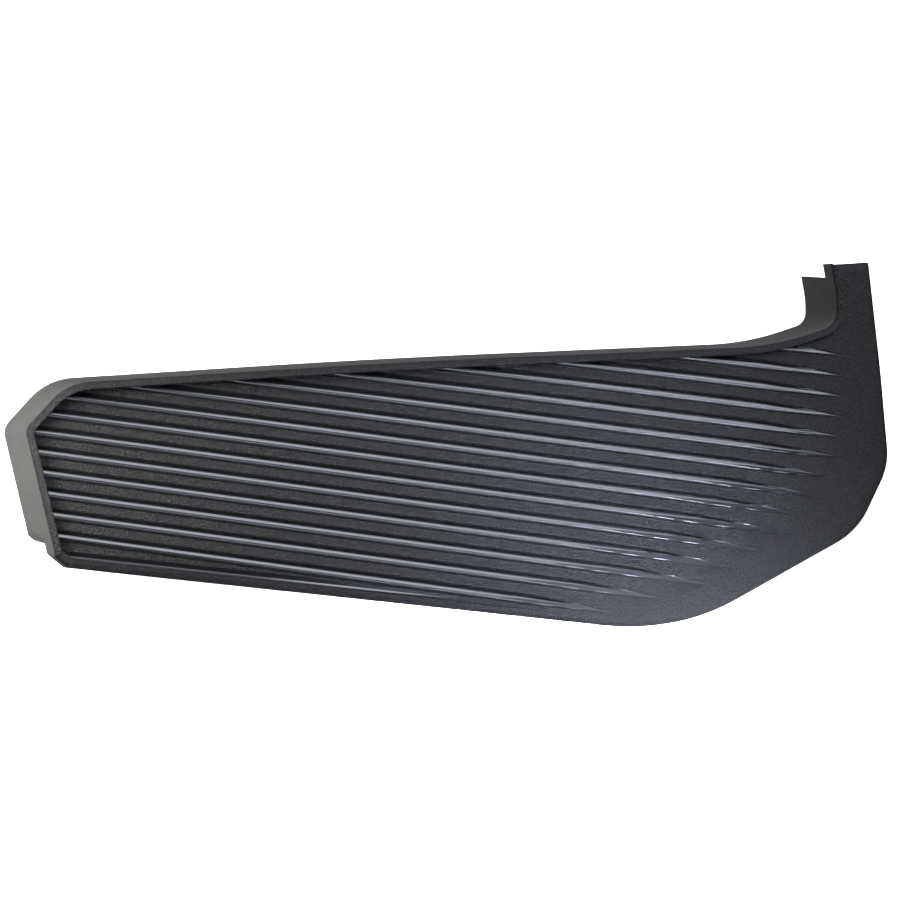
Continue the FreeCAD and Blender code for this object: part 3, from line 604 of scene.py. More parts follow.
for x in SCREW_PLACES:
    cylinder(bm, x, SCREW_LINE, BOSS_BOTTOM - 3, BOSS_BOTTOM + 10, 4.0)
for x, y in FIXINGS:
    cylinder(bm, x, y, FIXING_BOTTOM - 3, FIXING_BOTTOM + 10, 4.0)
combine(shell, object_from(bm, "holes", shell_materials), "DIFFERENCE")
bm = bmesh.new()
bm.from_mesh(shell.data)
bmesh.ops.remove_doubles(bm, verts=bm.verts, dist=0.0005 * MM)
bmesh.ops.holes_fill(bm, edges=[edge for edge in bm.edges if edge.is_boundary], sides=6)
bmesh.ops.recalc_face_normals(bm, faces=bm.faces)
bm.to_mesh(shell.data)
bm.free()
shell.data.shade_smooth()
shell.data.set_sharp_from_angle(angle=math.radians(38))
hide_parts("tread_shell")
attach(shell, "root")

# ------------------------------------------------------------------ reinforcement rail
# A hat-section rail folded from 2 mm mild steel sheet, crown up under the screw bosses. It is pierced
# after folding, its cut edges are rolled over, and it is electrocoated black with the brackets.

RAIL_START, RAIL_END, RAIL_LINE = -252.0, 238.0, -22.0
RAIL_BASE, RAIL_TOP, RAIL_GAUGE = 9.0, 22.5, 2.0
RAIL_HALF_CROWN, RAIL_HALF_WIDTH = 18.0, 36.0
BEND_RADIUS = 2.2
BEND_STEPS = 6
BRACKET_PLACES = {"front": -187.0, "middle": 0.0, "rear": 187.0}
HOLE_OFFSET = 15.0           # the bolt and foot holes lie this far either side of a bracket's middle
BOLT_OFFSET = 27.0
BOLT_HOLE = 4.25
SCREW_HOLE = 3.3


def bent_outline(path, gauge):
    """Closed outline of a sheet bent along a path of (across, up, bend radius at half the gauge)."""
    middle = []
    for index, (across, height, radius) in enumerate(path):
        corner = Vector((across, height))
        before = Vector(path[max(index - 1, 0)][:2])
        after = Vector(path[min(index + 1, len(path) - 1)][:2])
        if index in (0, len(path) - 1):
            along = (after - before).normalized()
            middle.append((corner, Vector((-along.y, along.x))))
            continue
        back, ahead = (before - corner).normalized(), (after - corner).normalized()
        half = (math.pi - back.angle(ahead)) / 2
        centre = corner + (back + ahead).normalized() * (radius / math.cos(half))
        arm = corner + back * radius * math.tan(half) - centre
        left_turn = back.x * ahead.y - back.y * ahead.x < 0
        for step in range(BEND_STEPS + 1):
            turned = Matrix.Rotation((2 if left_turn else -2) * half * step / BEND_STEPS, 2) @ arm
            middle.append((centre + turned, turned.normalized() * (-1 if left_turn else 1)))
    upper = [point + normal * gauge / 2 for point, normal in middle]
    lower = [point - normal * gauge / 2 for point, normal in reversed(middle)]
    return upper + lower


def extruded(bm, outline, start, end, lay):
    """A solid of one outline, swept from start to end; lay puts (along, across, up) into X, Y and Z."""
    corners = [bm.verts.new(lay(start, point[0], point[1])) for point in outline]
    face = bm.faces.new(corners)
    raised = bmesh.ops.extrude_face_region(bm, geom=[face], use_keep_orig=True)
    moved = [g for g in raised["geom"] if isinstance(g, bmesh.types.BMVert)]
    shift = Vector(lay(end, 0.0, 0.0)) - Vector(lay(start, 0.0, 0.0))
    bmesh.ops.translate(bm, verts=moved, vec=shift)
    bmesh.ops.recalc_face_normals(bm, faces=bm.faces)


def along_board(along, across, height):
    return along, RAIL_LINE + across, height


def pierced(obj, holes, low, high, material):
    """Cuts round holes of (x, y, radius) through a piece between two heights."""
    tool = bmesh.new()
    for x, y, radius in holes:
        cylinder(tool, x, y, low, high, radius)
    return combine(obj, object_from(tool, "drill", [material]), "DIFFERENCE")


def rolled_edges(obj, width, least_angle=50.0, segments=2):
    """Rounds the cut edges of a finished piece and shades it smooth between them."""
    bm = bmesh.new()
    bm.from_mesh(obj.data)
    bmesh.ops.remove_doubles(bm, verts=bm.verts, dist=0.004 * MM)
    bmesh.ops.dissolve_limit(bm, angle_limit=math.radians(1.0), verts=bm.verts, edges=bm.edges)
    sharp = [edge for edge in bm.edges if edge.calc_face_angle(0.0) > math.radians(least_angle)]
    bmesh.ops.bevel(
        bm, geom=sharp, offset=width * MM, offset_type="OFFSET", segments=segments, profile=0.5,
        affect="EDGES",
        clamp_overlap=True, material=-1,
    )
    bmesh.ops.recalc_face_normals(bm, faces=bm.faces)
    bm.to_mesh(obj.data)
    bm.free()
    obj.data.shade_smooth()
    obj.data.set_sharp_from_angle(angle=math.radians(32))
    return obj


def finished(obj, node):
    """Stands the piece in for its CAD node."""
    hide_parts(node)
    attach(obj, "root")
    return obj


def coated_steel():
    """Black electrocoat on pressed steel: an even satin film with faint orange peel, and a few fine rubs from
    handling that show paler."""
    material, tree = new_material("black_electrocoated_steel")
    place = add_node(tree, "ShaderNodeTexCoord")
    peel = add_node(tree, "ShaderNodeTexNoise", {"Scale": 1 / (1.6 * MM), "Detail": 2.0},
                    {"Vector": (place, "Object")})
    rub = add_node(tree, "ShaderNodeTexNoise", {"Scale": 1 / (18 * MM), "Detail": 8.0, "Roughness": 0.72},
                   {"Vector": (place, "Object")})
    rubbed = add_node(tree, "ShaderNodeMapRange", {"From Min": 0.58, "From Max": 0.72}, {"Value": (rub, 0)})
    bump = add_node(tree, "ShaderNodeBump", {"Strength": 0.35, "Distance": 0.04 * MM}, {"Height": (peel, 0)})
    colour = add_node(tree, "ShaderNodeMix",
                      {"data_type": "RGBA", 6: linear("#18191a"), 7: linear("#3a3a39")},
                      {0: (rubbed, "Result")})
    rough = add_node(tree, "ShaderNodeMapRange", {"To Min": 0.34, "To Max": 0.55},
                     {"Value": (rubbed, "Result")})
    shader = add_node(tree, "ShaderNodeBsdfPrincipled",
                      {"IOR": 1.52, "Coat Weight": 0.15, "Coat Roughness": 0.25},
                      {"Base Color": (colour, 2), "Roughness": (rough, "Result"), "Normal": (bump, "Normal")})
    close_material(tree, shader)
    return material


steel = coated_steel()
half_flange, half_crown = RAIL_HALF_WIDTH, RAIL_HALF_CROWN - RAIL_GAUGE / 2
flange_level, crown_level = RAIL_BASE + RAIL_GAUGE / 2, RAIL_TOP - RAIL_GAUGE / 2
bm = bmesh.new()
extruded(bm, bent_outline([
    (-half_flange, flange_level, 0.0), (-half_crown, flange_level, BEND_RADIUS),
    (-half_crown, crown_level, BEND_RADIUS), (half_crown, crown_level, BEND_RADIUS),
    (half_crown, flange_level, BEND_RADIUS), (half_flange, flange_level, 0.0),
], RAIL_GAUGE), RAIL_START, RAIL_END, along_board)
rail = object_from(bm, "folded_rail", [steel])
pierced(rail, [(x, SCREW_LINE, SCREW_HOLE) for x in SCREW_PLACES], RAIL_TOP - 4, RAIL_TOP + 2, steel)
bolt_places = [
    (middle + along * HOLE_OFFSET, RAIL_LINE + side * BOLT_OFFSET)
    for middle in BRACKET_PLACES.values() for along in (-1, 1) for side in (-1, 1)
]
pierced(rail, [(x, y, BOLT_HOLE) for x, y in bolt_places], RAIL_BASE - 2, RAIL_BASE + 4, steel)
finished(rolled_edges(rail, 0.3), "reinforcement_rail")

# ------------------------------------------------------------------ brackets
# Three straps pressed from 3 mm steel, joggled down at both ends to feet that stand on the vehicle's
# support arms. Each is pierced for two bolts per rail flange and two fixings per foot.

BRACKET_GAUGE = 3.0
BRACKET_HALF_WIDTH = 25.0
FOOT_BASE = 2.5
FOOT_END = 62.0
JOGGLE_OUT, JOGGLE_IN = 40.5, 36.5
FOOT_HOLE_OFFSET, FOOT_HOLE = 51.0, 4.5
foot_level = FOOT_BASE + BRACKET_GAUGE / 2
strap_level = RAIL_BASE - BRACKET_GAUGE / 2

for place, middle in BRACKET_PLACES.items():
    bm = bmesh.new()
    extruded(bm, bent_outline([
        (-FOOT_END, foot_level, 0.0), (-JOGGLE_OUT, foot_level, 2.6), (-JOGGLE_IN, strap_level, 2.6),
        (JOGGLE_IN, strap_level, 2.6), (JOGGLE_OUT, foot_level, 2.6), (FOOT_END, foot_level, 0.0),
    ], BRACKET_GAUGE), middle - BRACKET_HALF_WIDTH, middle + BRACKET_HALF_WIDTH, along_board)
    corners = [
        edge for edge in bm.edges
        if abs(abs(edge.verts[0].co.y - RAIL_LINE) - FOOT_END) < 0.01
        and (edge.verts[0].co.xy - edge.verts[1].co.xy).length < 0.01
    ]
    bmesh.ops.bevel(
        bm, geom=corners, offset=5.0, offset_type="OFFSET", segments=8, profile=0.5, affect="EDGES",
        material=-1,
    )
    bracket = object_from(bm, f"pressed_{place}_bracket", [steel])
    holes = [
        (middle + along * HOLE_OFFSET, RAIL_LINE + side * offset, radius)
        for along in (-1, 1) for side in (-1, 1)
        for offset, radius in ((FOOT_HOLE_OFFSET, FOOT_HOLE), (BOLT_OFFSET, BOLT_HOLE))
    ]
    pierced(bracket, holes, FOOT_BASE - 2, RAIL_BASE + 2, steel)
    finished(rolled_edges(bracket, 0.35), f"{place}_bracket")

# ------------------------------------------------------------------ foot pads
# Two rubber pads under each bracket, cut from grooved sheet so that water drains from under the feet.
# The pad is a little softer at its edges, where the press has rounded it.

PAD_GAUGE = 2.5
PAD_WIDTH = 22.0


def pad_rubber():
    """Black EPDM sheet: matt, faintly grey with bloom, with the fine weave that the curing cloth leaves."""
    material, tree = new_material("black_epdm_rubber")
    place = add_node(tree, "ShaderNodeTexCoord")
    cloth = add_node(tree, "ShaderNodeTexWave", {"Scale": 1 / (6.0 * MM), "Distortion": 0.6, "Detail": 2.0},
                     {"Vector": (place, "Object")})
    bloom = add_node(tree, "ShaderNodeTexNoise", {"Scale": 1 / (8 * MM), "Detail": 5.0},
                     {"Vector": (place, "Object")})
    bump = add_node(tree, "ShaderNodeBump", {"Strength": 0.4, "Distance": 0.05 * MM}, {"Height": (cloth, 1)})
    colour = add_node(tree, "ShaderNodeMix",
                      {"data_type": "RGBA", 6: linear("#1a1a1b"), 7: linear("#2d2d2e")},
                      {0: (bloom, 0)})
    rough = add_node(tree, "ShaderNodeMapRange", {"To Min": 0.72, "To Max": 0.9}, {"Value": (bloom, 0)})
    shader = add_node(tree, "ShaderNodeBsdfPrincipled", {"IOR": 1.5, "Specular IOR Level": 0.35},
                      {"Base Color": (colour, 2), "Roughness": (rough, "Result"), "Normal": (bump, "Normal")})
    close_material(tree, shader)
    return material


rubber = pad_rubber()
for place, middle in BRACKET_PLACES.items():
    bm, grooves = bmesh.new(), bmesh.new()
    for side in (-1, 1):
        inner, outer = RAIL_LINE + side * (FOOT_END - PAD_WIDTH), RAIL_LINE + side * FOOT_END
        block(bm, (middle - BRACKET_HALF_WIDTH, min(inner, outer), 0.0),
              (middle + BRACKET_HALF_WIDTH, max(inner, outer), PAD_GAUGE))
        for index in range(4):
            line = middle + (index - 1.5) * 4.0
            block(grooves, (line - 0.7, min(inner, outer) - 1, -1.0),
                  (line + 0.7, max(inner, outer) + 1, 0.6))
    upright = [edge for edge in bm.edges if abs(edge.verts[0].co.z - edge.verts[1].co.z) > 1.0]
    bmesh.ops.bevel(
        bm, geom=upright, offset=4.5, offset_type="OFFSET", segments=6, profile=0.5, affect="EDGES",
        material=-1,
    )
    pads = object_from(bm, f"rubber_{place}_foot_pads", [rubber])
    combine(pads, object_from(grooves, "grooves", [rubber]), "DIFFERENCE")
    pierced(pads, [(middle + along * HOLE_OFFSET, RAIL_LINE + side * FOOT_HOLE_OFFSET, FOOT_HOLE)
                   for along in (-1, 1) for side in (-1, 1)], -2.0, PAD_GAUGE + 2, rubber)
    finished(rolled_edges(pads, 0.25), f"{place}_foot_pads")

# ------------------------------------------------------------------ shell inserts
# Knurled brass inserts pressed hot into the six bosses, each threaded for a rail screw. Two bands of
# knurling with a plain groove between them hold the plastic.

INSERT_RADIUS, INSERT_LENGTH = 4.0, 9.0
SCREW_RADIUS = 3.0
TURNED_STEPS = 36
KNURL_DEPTH = 0.25


def turned(bm, x, y, profile, knurled=()):
    """A ring turned from a loop of (radius, z), or a bar from a line that starts and ends on the axis.

    knurled lists the bands of (low, high) z whose surface is cut into ridges.
    """
    verts = [bm.verts.new((x + radius, y, z)) for radius, z in profile]
    first = 1 if profile[0][0] == 0.0 else 0
    edges = [bm.edges.new((verts[index - 1], verts[index])) for index in range(first, len(verts))]
    before = set(bm.verts)
    bmesh.ops.spin(
        bm, geom=verts + edges, cent=(x, y, 0.0), axis=(0.0, 0.0, 1.0), dvec=(0.0, 0.0, 0.0),
        angle=2 * math.pi, steps=TURNED_STEPS, use_merge=True, use_duplicate=False,
    )
    outside = max(radius for radius, z in profile)
    for vert in list(set(bm.verts) - before) + verts:
        arm = Vector((vert.co.x - x, vert.co.y - y))
        turn = round(math.degrees(math.atan2(arm.y, arm.x)) / (360 / TURNED_STEPS))
        if arm.length > outside - 0.05 and turn % 2 and any(low < vert.co.z < high for low, high in knurled):
            vert.co.x -= arm.normalized().x * KNURL_DEPTH
            vert.co.y -= arm.normalized().y * KNURL_DEPTH
    bmesh.ops.remove_doubles(bm, verts=bm.verts, dist=0.0005)
    bmesh.ops.recalc_face_normals(bm, faces=bm.faces)


def thread(low, high, crest, root, pitch):
    """Profile points of ridges along a thread, from low to high."""
    count = int((high - low) / pitch)
    points = []
    for index in range(count):
        start = low + index * pitch
        points += [(root, start + 0.06 * pitch), (crest, start + 0.44 * pitch), (crest, start + 0.56 * pitch)]
    return points + [(root, low + count * pitch)]


def insert_profile(low, bore):
    """Section of a knurled insert whose bore is threaded."""
    high, chamfer = low + INSERT_LENGTH, 0.5
    outside = [
        (INSERT_RADIUS - chamfer, low), (INSERT_RADIUS, low + chamfer), (INSERT_RADIUS, low + 3.6),
        (INSERT_RADIUS - 0.6, low + 3.9), (INSERT_RADIUS - 0.6, low + 5.1), (INSERT_RADIUS, low + 5.4),
        (INSERT_RADIUS, high - chamfer), (INSERT_RADIUS - chamfer, high),
    ]
    inside = thread(low + 0.5, high - 0.5, bore + 0.32, bore, 1.0)
    return outside + [(bore + 0.5, high)] + inside[::-1] + [(bore + 0.5, low)]


def insert_brass():
    """Free-machining brass: warm yellow, with fine turning lines and a slight brown tarnish in patches."""
    material, tree = new_material("turned_brass")
    place = add_node(tree, "ShaderNodeTexCoord")
    stretch = add_node(tree, "ShaderNodeMapping", {"Scale": (0.1, 0.1, 1.0)}, {"Vector": (place, "Object")})
    lines = add_node(tree, "ShaderNodeTexNoise", {"Scale": 1 / (0.25 * MM), "Detail": 3.0},
                     {"Vector": (stretch, "Vector")})
    tarnish = add_node(tree, "ShaderNodeTexNoise", {"Scale": 1 / (3 * MM), "Detail": 4.0},
                       {"Vector": (place, "Object")})
    bump = add_node(tree, "ShaderNodeBump", {"Strength": 0.3, "Distance": 0.02 * MM}, {"Height": (lines, 0)})
    colour = add_node(tree, "ShaderNodeMix",
                      {"data_type": "RGBA", 6: linear("#d3b067"), 7: linear("#a57f3e")},
                      {0: (tarnish, 0)})
    rough = add_node(tree, "ShaderNodeMapRange", {"To Min": 0.24, "To Max": 0.42}, {"Value": (tarnish, 0)})
    shader = add_node(tree, "ShaderNodeBsdfPrincipled", {"Metallic": 1.0},
                      {"Base Color": (colour, 2), "Roughness": (rough, "Result"), "Normal": (bump, "Normal")})
    close_material(tree, shader)
    return material


def turned_piece(bm, name, material, node):
    obj = object_from(bm, name, [material])
    obj.data.shade_smooth()
    obj.data.set_sharp_from_angle(angle=math.radians(32))
    return finished(obj, node)


brass = insert_brass()


def knurled_inserts(places, low, bore, name, node):
    bm = bmesh.new()
    for x, y in places:
        turned(bm, x, y, insert_profile(low, bore), [(low + 0.4, low + 3.7), (low + 5.3, low + 8.6)])
    return turned_piece(bm, name, brass, node)


knurled_inserts([(x, SCREW_LINE) for x in SCREW_PLACES], BOSS_BOTTOM, SCREW_RADIUS, "brass_shell_inserts",
                "shell_inserts")

# ------------------------------------------------------------------ rail isolators
# A soft rubber washer between each boss and the rail's crown, so that the steel doesn't creak on the
# plastic. It bulges a little where the screw squeezes it.

ISOLATOR_RADIUS, ISOLATOR_GAUGE = 9.0, 1.5
bm = bmesh.new()
for x in SCREW_PLACES:
    low, high = RAIL_TOP, RAIL_TOP + ISOLATOR_GAUGE
    turned(bm, x, SCREW_LINE, [
        (SCREW_HOLE + 0.2, low), (ISOLATOR_RADIUS - 0.5, low), (ISOLATOR_RADIUS - 0.12, low + 0.3),
        (ISOLATOR_RADIUS, low + 0.75), (ISOLATOR_RADIUS - 0.12, high - 0.3), (ISOLATOR_RADIUS - 0.5, high),
        (SCREW_HOLE + 0.2, high), (SCREW_HOLE, high - 0.2), (SCREW_HOLE, low + 0.2),
    ])
turned_piece(bm, "rubber_rail_isolators", rubber, "rail_isolators")

# ------------------------------------------------------------------ rail washers and screws
# Stamped washers and M6 hexagon screws, zinc plated, put in from below through the rail's crown into
# the inserts. A head is cold formed: its corners are turned off to a cone.

WASHER_RADIUS, WASHER_GAUGE, WASHER_HOLE = 8.0, 1.6, 3.2
SCREW_HEAD, SCREW_HEAD_HEIGHT = 5.8, 5.0
WASHER_BASE = RAIL_TOP - RAIL_GAUGE - WASHER_GAUGE


def plated_steel():
    """Zinc plating with a clear passivate: pale bluish grey, softly mottled by the plating bath, with darker
    rubs where the spanner has been."""
    material, tree = new_material("zinc_plated_steel")
    place = add_node(tree, "ShaderNodeTexCoord")
    mottle = add_node(tree, "ShaderNodeTexVoronoi", {"Scale": 1 / (1.8 * MM), "feature": "SMOOTH_F1"},
                      {"Vector": (place, "Object")})
    rub = add_node(tree, "ShaderNodeTexNoise", {"Scale": 1 / (5 * MM), "Detail": 7.0, "Roughness": 0.7},
                   {"Vector": (place, "Object")})
    bump = add_node(tree, "ShaderNodeBump", {"Strength": 0.25, "Distance": 0.02 * MM}, {"Height": (rub, 0)})
    colour = add_node(tree, "ShaderNodeMix",
                      {"data_type": "RGBA", 6: linear("#b9bec4"), 7: linear("#8d9299")},
                      {0: (rub, 0)})
    rough = add_node(tree, "ShaderNodeMapRange", {"To Min": 0.28, "To Max": 0.46},
                     {"Value": (mottle, "Distance")})
    shader = add_node(tree, "ShaderNodeBsdfPrincipled", {"Metallic": 1.0},
                      {"Base Color": (colour, 2), "Roughness": (rough, "Result"), "Normal": (bump, "Normal")})
    close_material(tree, shader)
    return material


zinc = plated_steel()
bm = bmesh.new()
for x in SCREW_PLACES:
    low, high = WASHER_BASE, WASHER_BASE + WASHER_GAUGE
    turned(bm, x, SCREW_LINE, [
        (WASHER_HOLE, low + 0.1), (WASHER_HOLE + 0.2, low), (WASHER_RADIUS - 0.15, low),
        (WASHER_RADIUS, low + 0.15),
        (WASHER_RADIUS, high - 0.5), (WASHER_RADIUS - 0.35, high), (WASHER_HOLE + 0.3, high),
        (WASHER_HOLE, high - 0.3),
    ])
turned_piece(bm, "stamped_rail_washers", zinc, "rail_washers")


def hexagon_heads(places, radius, low, high, both_faces, name):
    """Hexagons whose corners are turned off to a cone on the lower face, or on both."""
    prisms, cones = bmesh.new(), bmesh.new()
    reach, drop = radius + 0.4, radius * 0.11
    top = [(reach - 1.1, high), (reach, high - drop)] if both_faces else [(reach, high)]
    for x, y in places:
        middle = Matrix.Translation((x, y, (low + high) / 2)) @ Matrix.Rotation(math.radians(30), 4, "Z")
        bmesh.ops.create_cone(
            prisms, cap_ends=True, segments=6, radius1=radius, radius2=radius, depth=high - low, matrix=middle
        )
        turned(cones, x, y, [(0.0, low - 0.01), (reach - 1.1, low - 0.01), (reach, low + drop)] + top[::-1]
               + [(0.0, high + 0.01)])
    heads = object_from(prisms, name, [zinc])
    return combine(heads, object_from(cones, "cones", [zinc]), "INTERSECT")


def joined(obj, bm):
    """Adds a bmesh in millimetres to an object as further closed pieces."""
    bmesh.ops.scale(bm, vec=(MM, MM, MM), verts=bm.verts)
    bm.from_mesh(obj.data)
    bmesh.ops.recalc_face_normals(bm, faces=bm.faces)
    bm.to_mesh(obj.data)
    bm.free()
    obj.data.shade_smooth()
    obj.data.set_sharp_from_angle(angle=math.radians(24))
    return obj


screw_head_low = WASHER_BASE - SCREW_HEAD_HEIGHT
screws = hexagon_heads(
    [(x, SCREW_LINE) for x in SCREW_PLACES], SCREW_HEAD, screw_head_low, WASHER_BASE, False,
    "plated_rail_screws"
)
bm = bmesh.new()
screw_tip = 32.0             # just short of the top of the insert
for x in SCREW_PLACES:
    turned(bm, x, SCREW_LINE, [(0.0, WASHER_BASE - 0.3), (SCREW_RADIUS, WASHER_BASE - 0.3)]
           + thread(RAIL_TOP, screw_tip - 1.0, SCREW_RADIUS, SCREW_RADIUS - 0.5, 1.0)
           + [(SCREW_RADIUS - 0.9, screw_tip), (0.0, screw_tip)])
finished(joined(screws, bm), "rail_screws")

# ------------------------------------------------------------------ bracket bolts and nuts
# M8 hexagon bolts put up through the brackets and the rail's flanges from below, with a plain nut on
# each inside the board. The nut's corners are turned off on both faces and its bore is countersunk.

BOLT_RADIUS, BOLT_HEAD, BOLT_HEAD_HEIGHT = 4.0, 7.5, 5.3
NUT_HEIGHT = 6.5
BOLT_TIP = 19.5
bolt_seat = RAIL_BASE - BRACKET_GAUGE
nut_seat = RAIL_BASE + RAIL_GAUGE
bolts = hexagon_heads(bolt_places, BOLT_HEAD, bolt_seat - BOLT_HEAD_HEIGHT, bolt_seat, False,
                      "plated_bracket_bolts")
bm = bmesh.new()
for x, y in bolt_places:
    turned(bm, x, y, [(0.0, bolt_seat - 0.3), (BOLT_RADIUS, bolt_seat - 0.3)]
           + thread(RAIL_BASE, BOLT_TIP - 1.0, BOLT_RADIUS, BOLT_RADIUS - 0.62, 1.25)
           + [(BOLT_RADIUS - 1.1, BOLT_TIP), (0.0, BOLT_TIP)])
finished(joined(bolts, bm), "bracket_bolts")
nuts = hexagon_heads(bolt_places, BOLT_HEAD, nut_seat, nut_seat + NUT_HEIGHT, True, "plated_bracket_nuts")
bm = bmesh.new()
for x, y in bolt_places:
    low, high = nut_seat, nut_seat + NUT_HEIGHT
    turned(bm, x, y, [(0.0, low - 0.5), (BOLT_RADIUS + 0.9, low - 0.5), (BOLT_RADIUS + 0.4, low + 0.1),
                      (BOLT_RADIUS + 0.05, low + 0.5), (BOLT_RADIUS + 0.05, high - 0.5),
                      (BOLT_RADIUS + 0.4, high - 0.1), (BOLT_RADIUS + 0.9, high + 0.5), (0.0, high + 0.5)])
combine(nuts, object_from(bm, "nut_bores", [zinc]), "DIFFERENCE")
nuts.data.shade_smooth()
nuts.data.set_sharp_from_angle(angle=math.radians(24))
finished(nuts, "bracket_nuts")

# ------------------------------------------------------------------ rail caps
# A moulded cap closes each end of the rail: a rounded plate, and a hollow tongue with crush ribs that
# grips the inside of the hat.

CAP_GAUGE = 2.0
TONGUE_LENGTH, TONGUE_GAUGE = 9.0, 1.6
TONGUE_HALF_WIDTH = 15.6
tongue_top = RAIL_TOP - RAIL_GAUGE - 0.3


def cap_plastic():
    """Black nylon off a sparked tool: a fine even matt, with small shiny rubs where the cap is pushed."""
    material, tree = new_material("black_nylon")
    place = add_node(tree, "ShaderNodeTexCoord")
    spark = add_node(tree, "ShaderNodeTexNoise", {"Scale": 1 / (0.35 * MM), "Detail": 2.0},
                     {"Vector": (place, "Object")})
    rub = add_node(tree, "ShaderNodeTexNoise", {"Scale": 1 / (4 * MM), "Detail": 5.0},
                   {"Vector": (place, "Object")})
    bump = add_node(tree, "ShaderNodeBump", {"Strength": 0.5, "Distance": 0.04 * MM}, {"Height": (spark, 0)})
    colour = add_node(tree, "ShaderNodeMix",
                      {"data_type": "RGBA", 6: linear("#1b1b1c"), 7: linear("#29292a")},
                      {0: (rub, 0)})
    rough = add_node(tree, "ShaderNodeMapRange", {"To Min": 0.66, "To Max": 0.48}, {"Value": (rub, 0)})
    shader = add_node(tree, "ShaderNodeBsdfPrincipled", {"IOR": 1.53},
                      {"Base Color": (colour, 2), "Roughness": (rough, "Result"), "Normal": (bump, "Normal")})
    close_material(tree, shader)
    return material


nylon = cap_plastic()
for place, face, inwards in (("front", RAIL_START, 1), ("rear", RAIL_END, -1)):
    low_x, high_x = sorted((face - inwards * CAP_GAUGE, face))
    bm = bmesh.new()
    block(bm, (low_x, RAIL_LINE - RAIL_HALF_CROWN, RAIL_BASE),
          (high_x, RAIL_LINE + RAIL_HALF_CROWN, RAIL_TOP))
    along = [edge for edge in bm.edges if abs(edge.verts[0].co.x - edge.verts[1].co.x) > 1.0]
    bmesh.ops.bevel(
        bm, geom=along, offset=2.0, offset_type="OFFSET", segments=6, profile=0.5, affect="EDGES",
        material=-1,
    )
    cap = object_from(bm, f"moulded_{place}_cap", [nylon])
    low_x, high_x = sorted((face - inwards * 0.2, face + inwards * TONGUE_LENGTH))
    bm = bmesh.new()
    block(bm, (low_x, RAIL_LINE - TONGUE_HALF_WIDTH, RAIL_BASE),
          (high_x, RAIL_LINE + TONGUE_HALF_WIDTH, tongue_top))
    tongue = object_from(bm, "tongue", [nylon])
    bm = bmesh.new()
    low_x, high_x = sorted((face + inwards * 0.6, face + inwards * (TONGUE_LENGTH + 1)))
    block(bm, (low_x, RAIL_LINE - TONGUE_HALF_WIDTH + TONGUE_GAUGE, RAIL_BASE - 1),
          (high_x, RAIL_LINE - 0.8, tongue_top - TONGUE_GAUGE))
    block(bm, (low_x, RAIL_LINE + 0.8, RAIL_BASE - 1),
          (high_x, RAIL_LINE + TONGUE_HALF_WIDTH - TONGUE_GAUGE, tongue_top - TONGUE_GAUGE))
    combine(tongue, object_from(bm, "core", [nylon]), "DIFFERENCE")
    bm = bmesh.new()
    low_x, high_x = sorted((face + inwards * 0.5, face + inwards * (TONGUE_LENGTH - 1.5)))
    for side in (-1, 1):
        for level in (12.0, 15.0, 18.0):
            block(bm, (low_x, RAIL_LINE + side * (TONGUE_HALF_WIDTH + 0.02) - 0.2, level - 0.4),
                  (high_x, RAIL_LINE + side * (TONGUE_HALF_WIDTH + 0.02) + 0.2, level + 0.4))
    combine(tongue, object_from(bm, "crush_ribs", [nylon]), "UNION")
    combine(cap, tongue, "UNION")
    finished(rolled_edges(cap, 0.15), f"{place}_rail_cap")

# ------------------------------------------------------------------ end inserts
# The same brass inserts, bored for M5, in the fixing bosses at the upright and at the narrow end.

knurled_inserts([FIXINGS[0]], FIXING_BOTTOM, 2.5, "brass_upright_insert", "upright_insert")
knurled_inserts([FIXINGS[1]], FIXING_BOTTOM, 2.5, "brass_end_insert", "end_insert")

# ------------------------------------------------------------------ sill clips
# Spring-steel channels pushed up over the five ribs behind the vehicle-side wall. Each is folded from
# one strip, phosphated brown-black, with a barb pressed in from either side to bite the rib.

CLIP_GAUGE, CLIP_RIB = 0.8, 3.0
CLIP_LOW, CLIP_HIGH = 5.2, 16.2
CLIP_WIDTH, CLIP_SET_IN = 9.0, 14.0


def spring_steel():
    """Phosphated, oiled spring steel: brownish black, dull and finely crystalline, with bright rubs."""
    material, tree = new_material("phosphated_spring_steel")
    place = add_node(tree, "ShaderNodeTexCoord")
    crystal = add_node(tree, "ShaderNodeTexVoronoi", {"Scale": 1 / (0.4 * MM)}, {"Vector": (place, "Object")})
    rub = add_node(tree, "ShaderNodeTexNoise", {"Scale": 1 / (5 * MM), "Detail": 8.0, "Roughness": 0.75},
                   {"Vector": (place, "Object")})
    bare = add_node(tree, "ShaderNodeMapRange", {"From Min": 0.6, "From Max": 0.68}, {"Value": (rub, 0)})
    bump = add_node(tree, "ShaderNodeBump", {"Strength": 0.4, "Distance": 0.02 * MM},
                    {"Height": (crystal, "Distance")})
    colour = add_node(tree, "ShaderNodeMix",
                      {"data_type": "RGBA", 6: linear("#2e2a27"), 7: linear("#8a8782")},
                      {0: (bare, "Result")})
    rough = add_node(tree, "ShaderNodeMapRange", {"To Min": 0.62, "To Max": 0.35},
                     {"Value": (bare, "Result")})
    shader = add_node(tree, "ShaderNodeBsdfPrincipled", {"Metallic": 0.85},
                      {"Base Color": (colour, 2), "Roughness": (rough, "Result"), "Normal": (bump, "Normal")})
    close_material(tree, shader)
    return material


def across_wall(along, across, height):
    return across, along, height


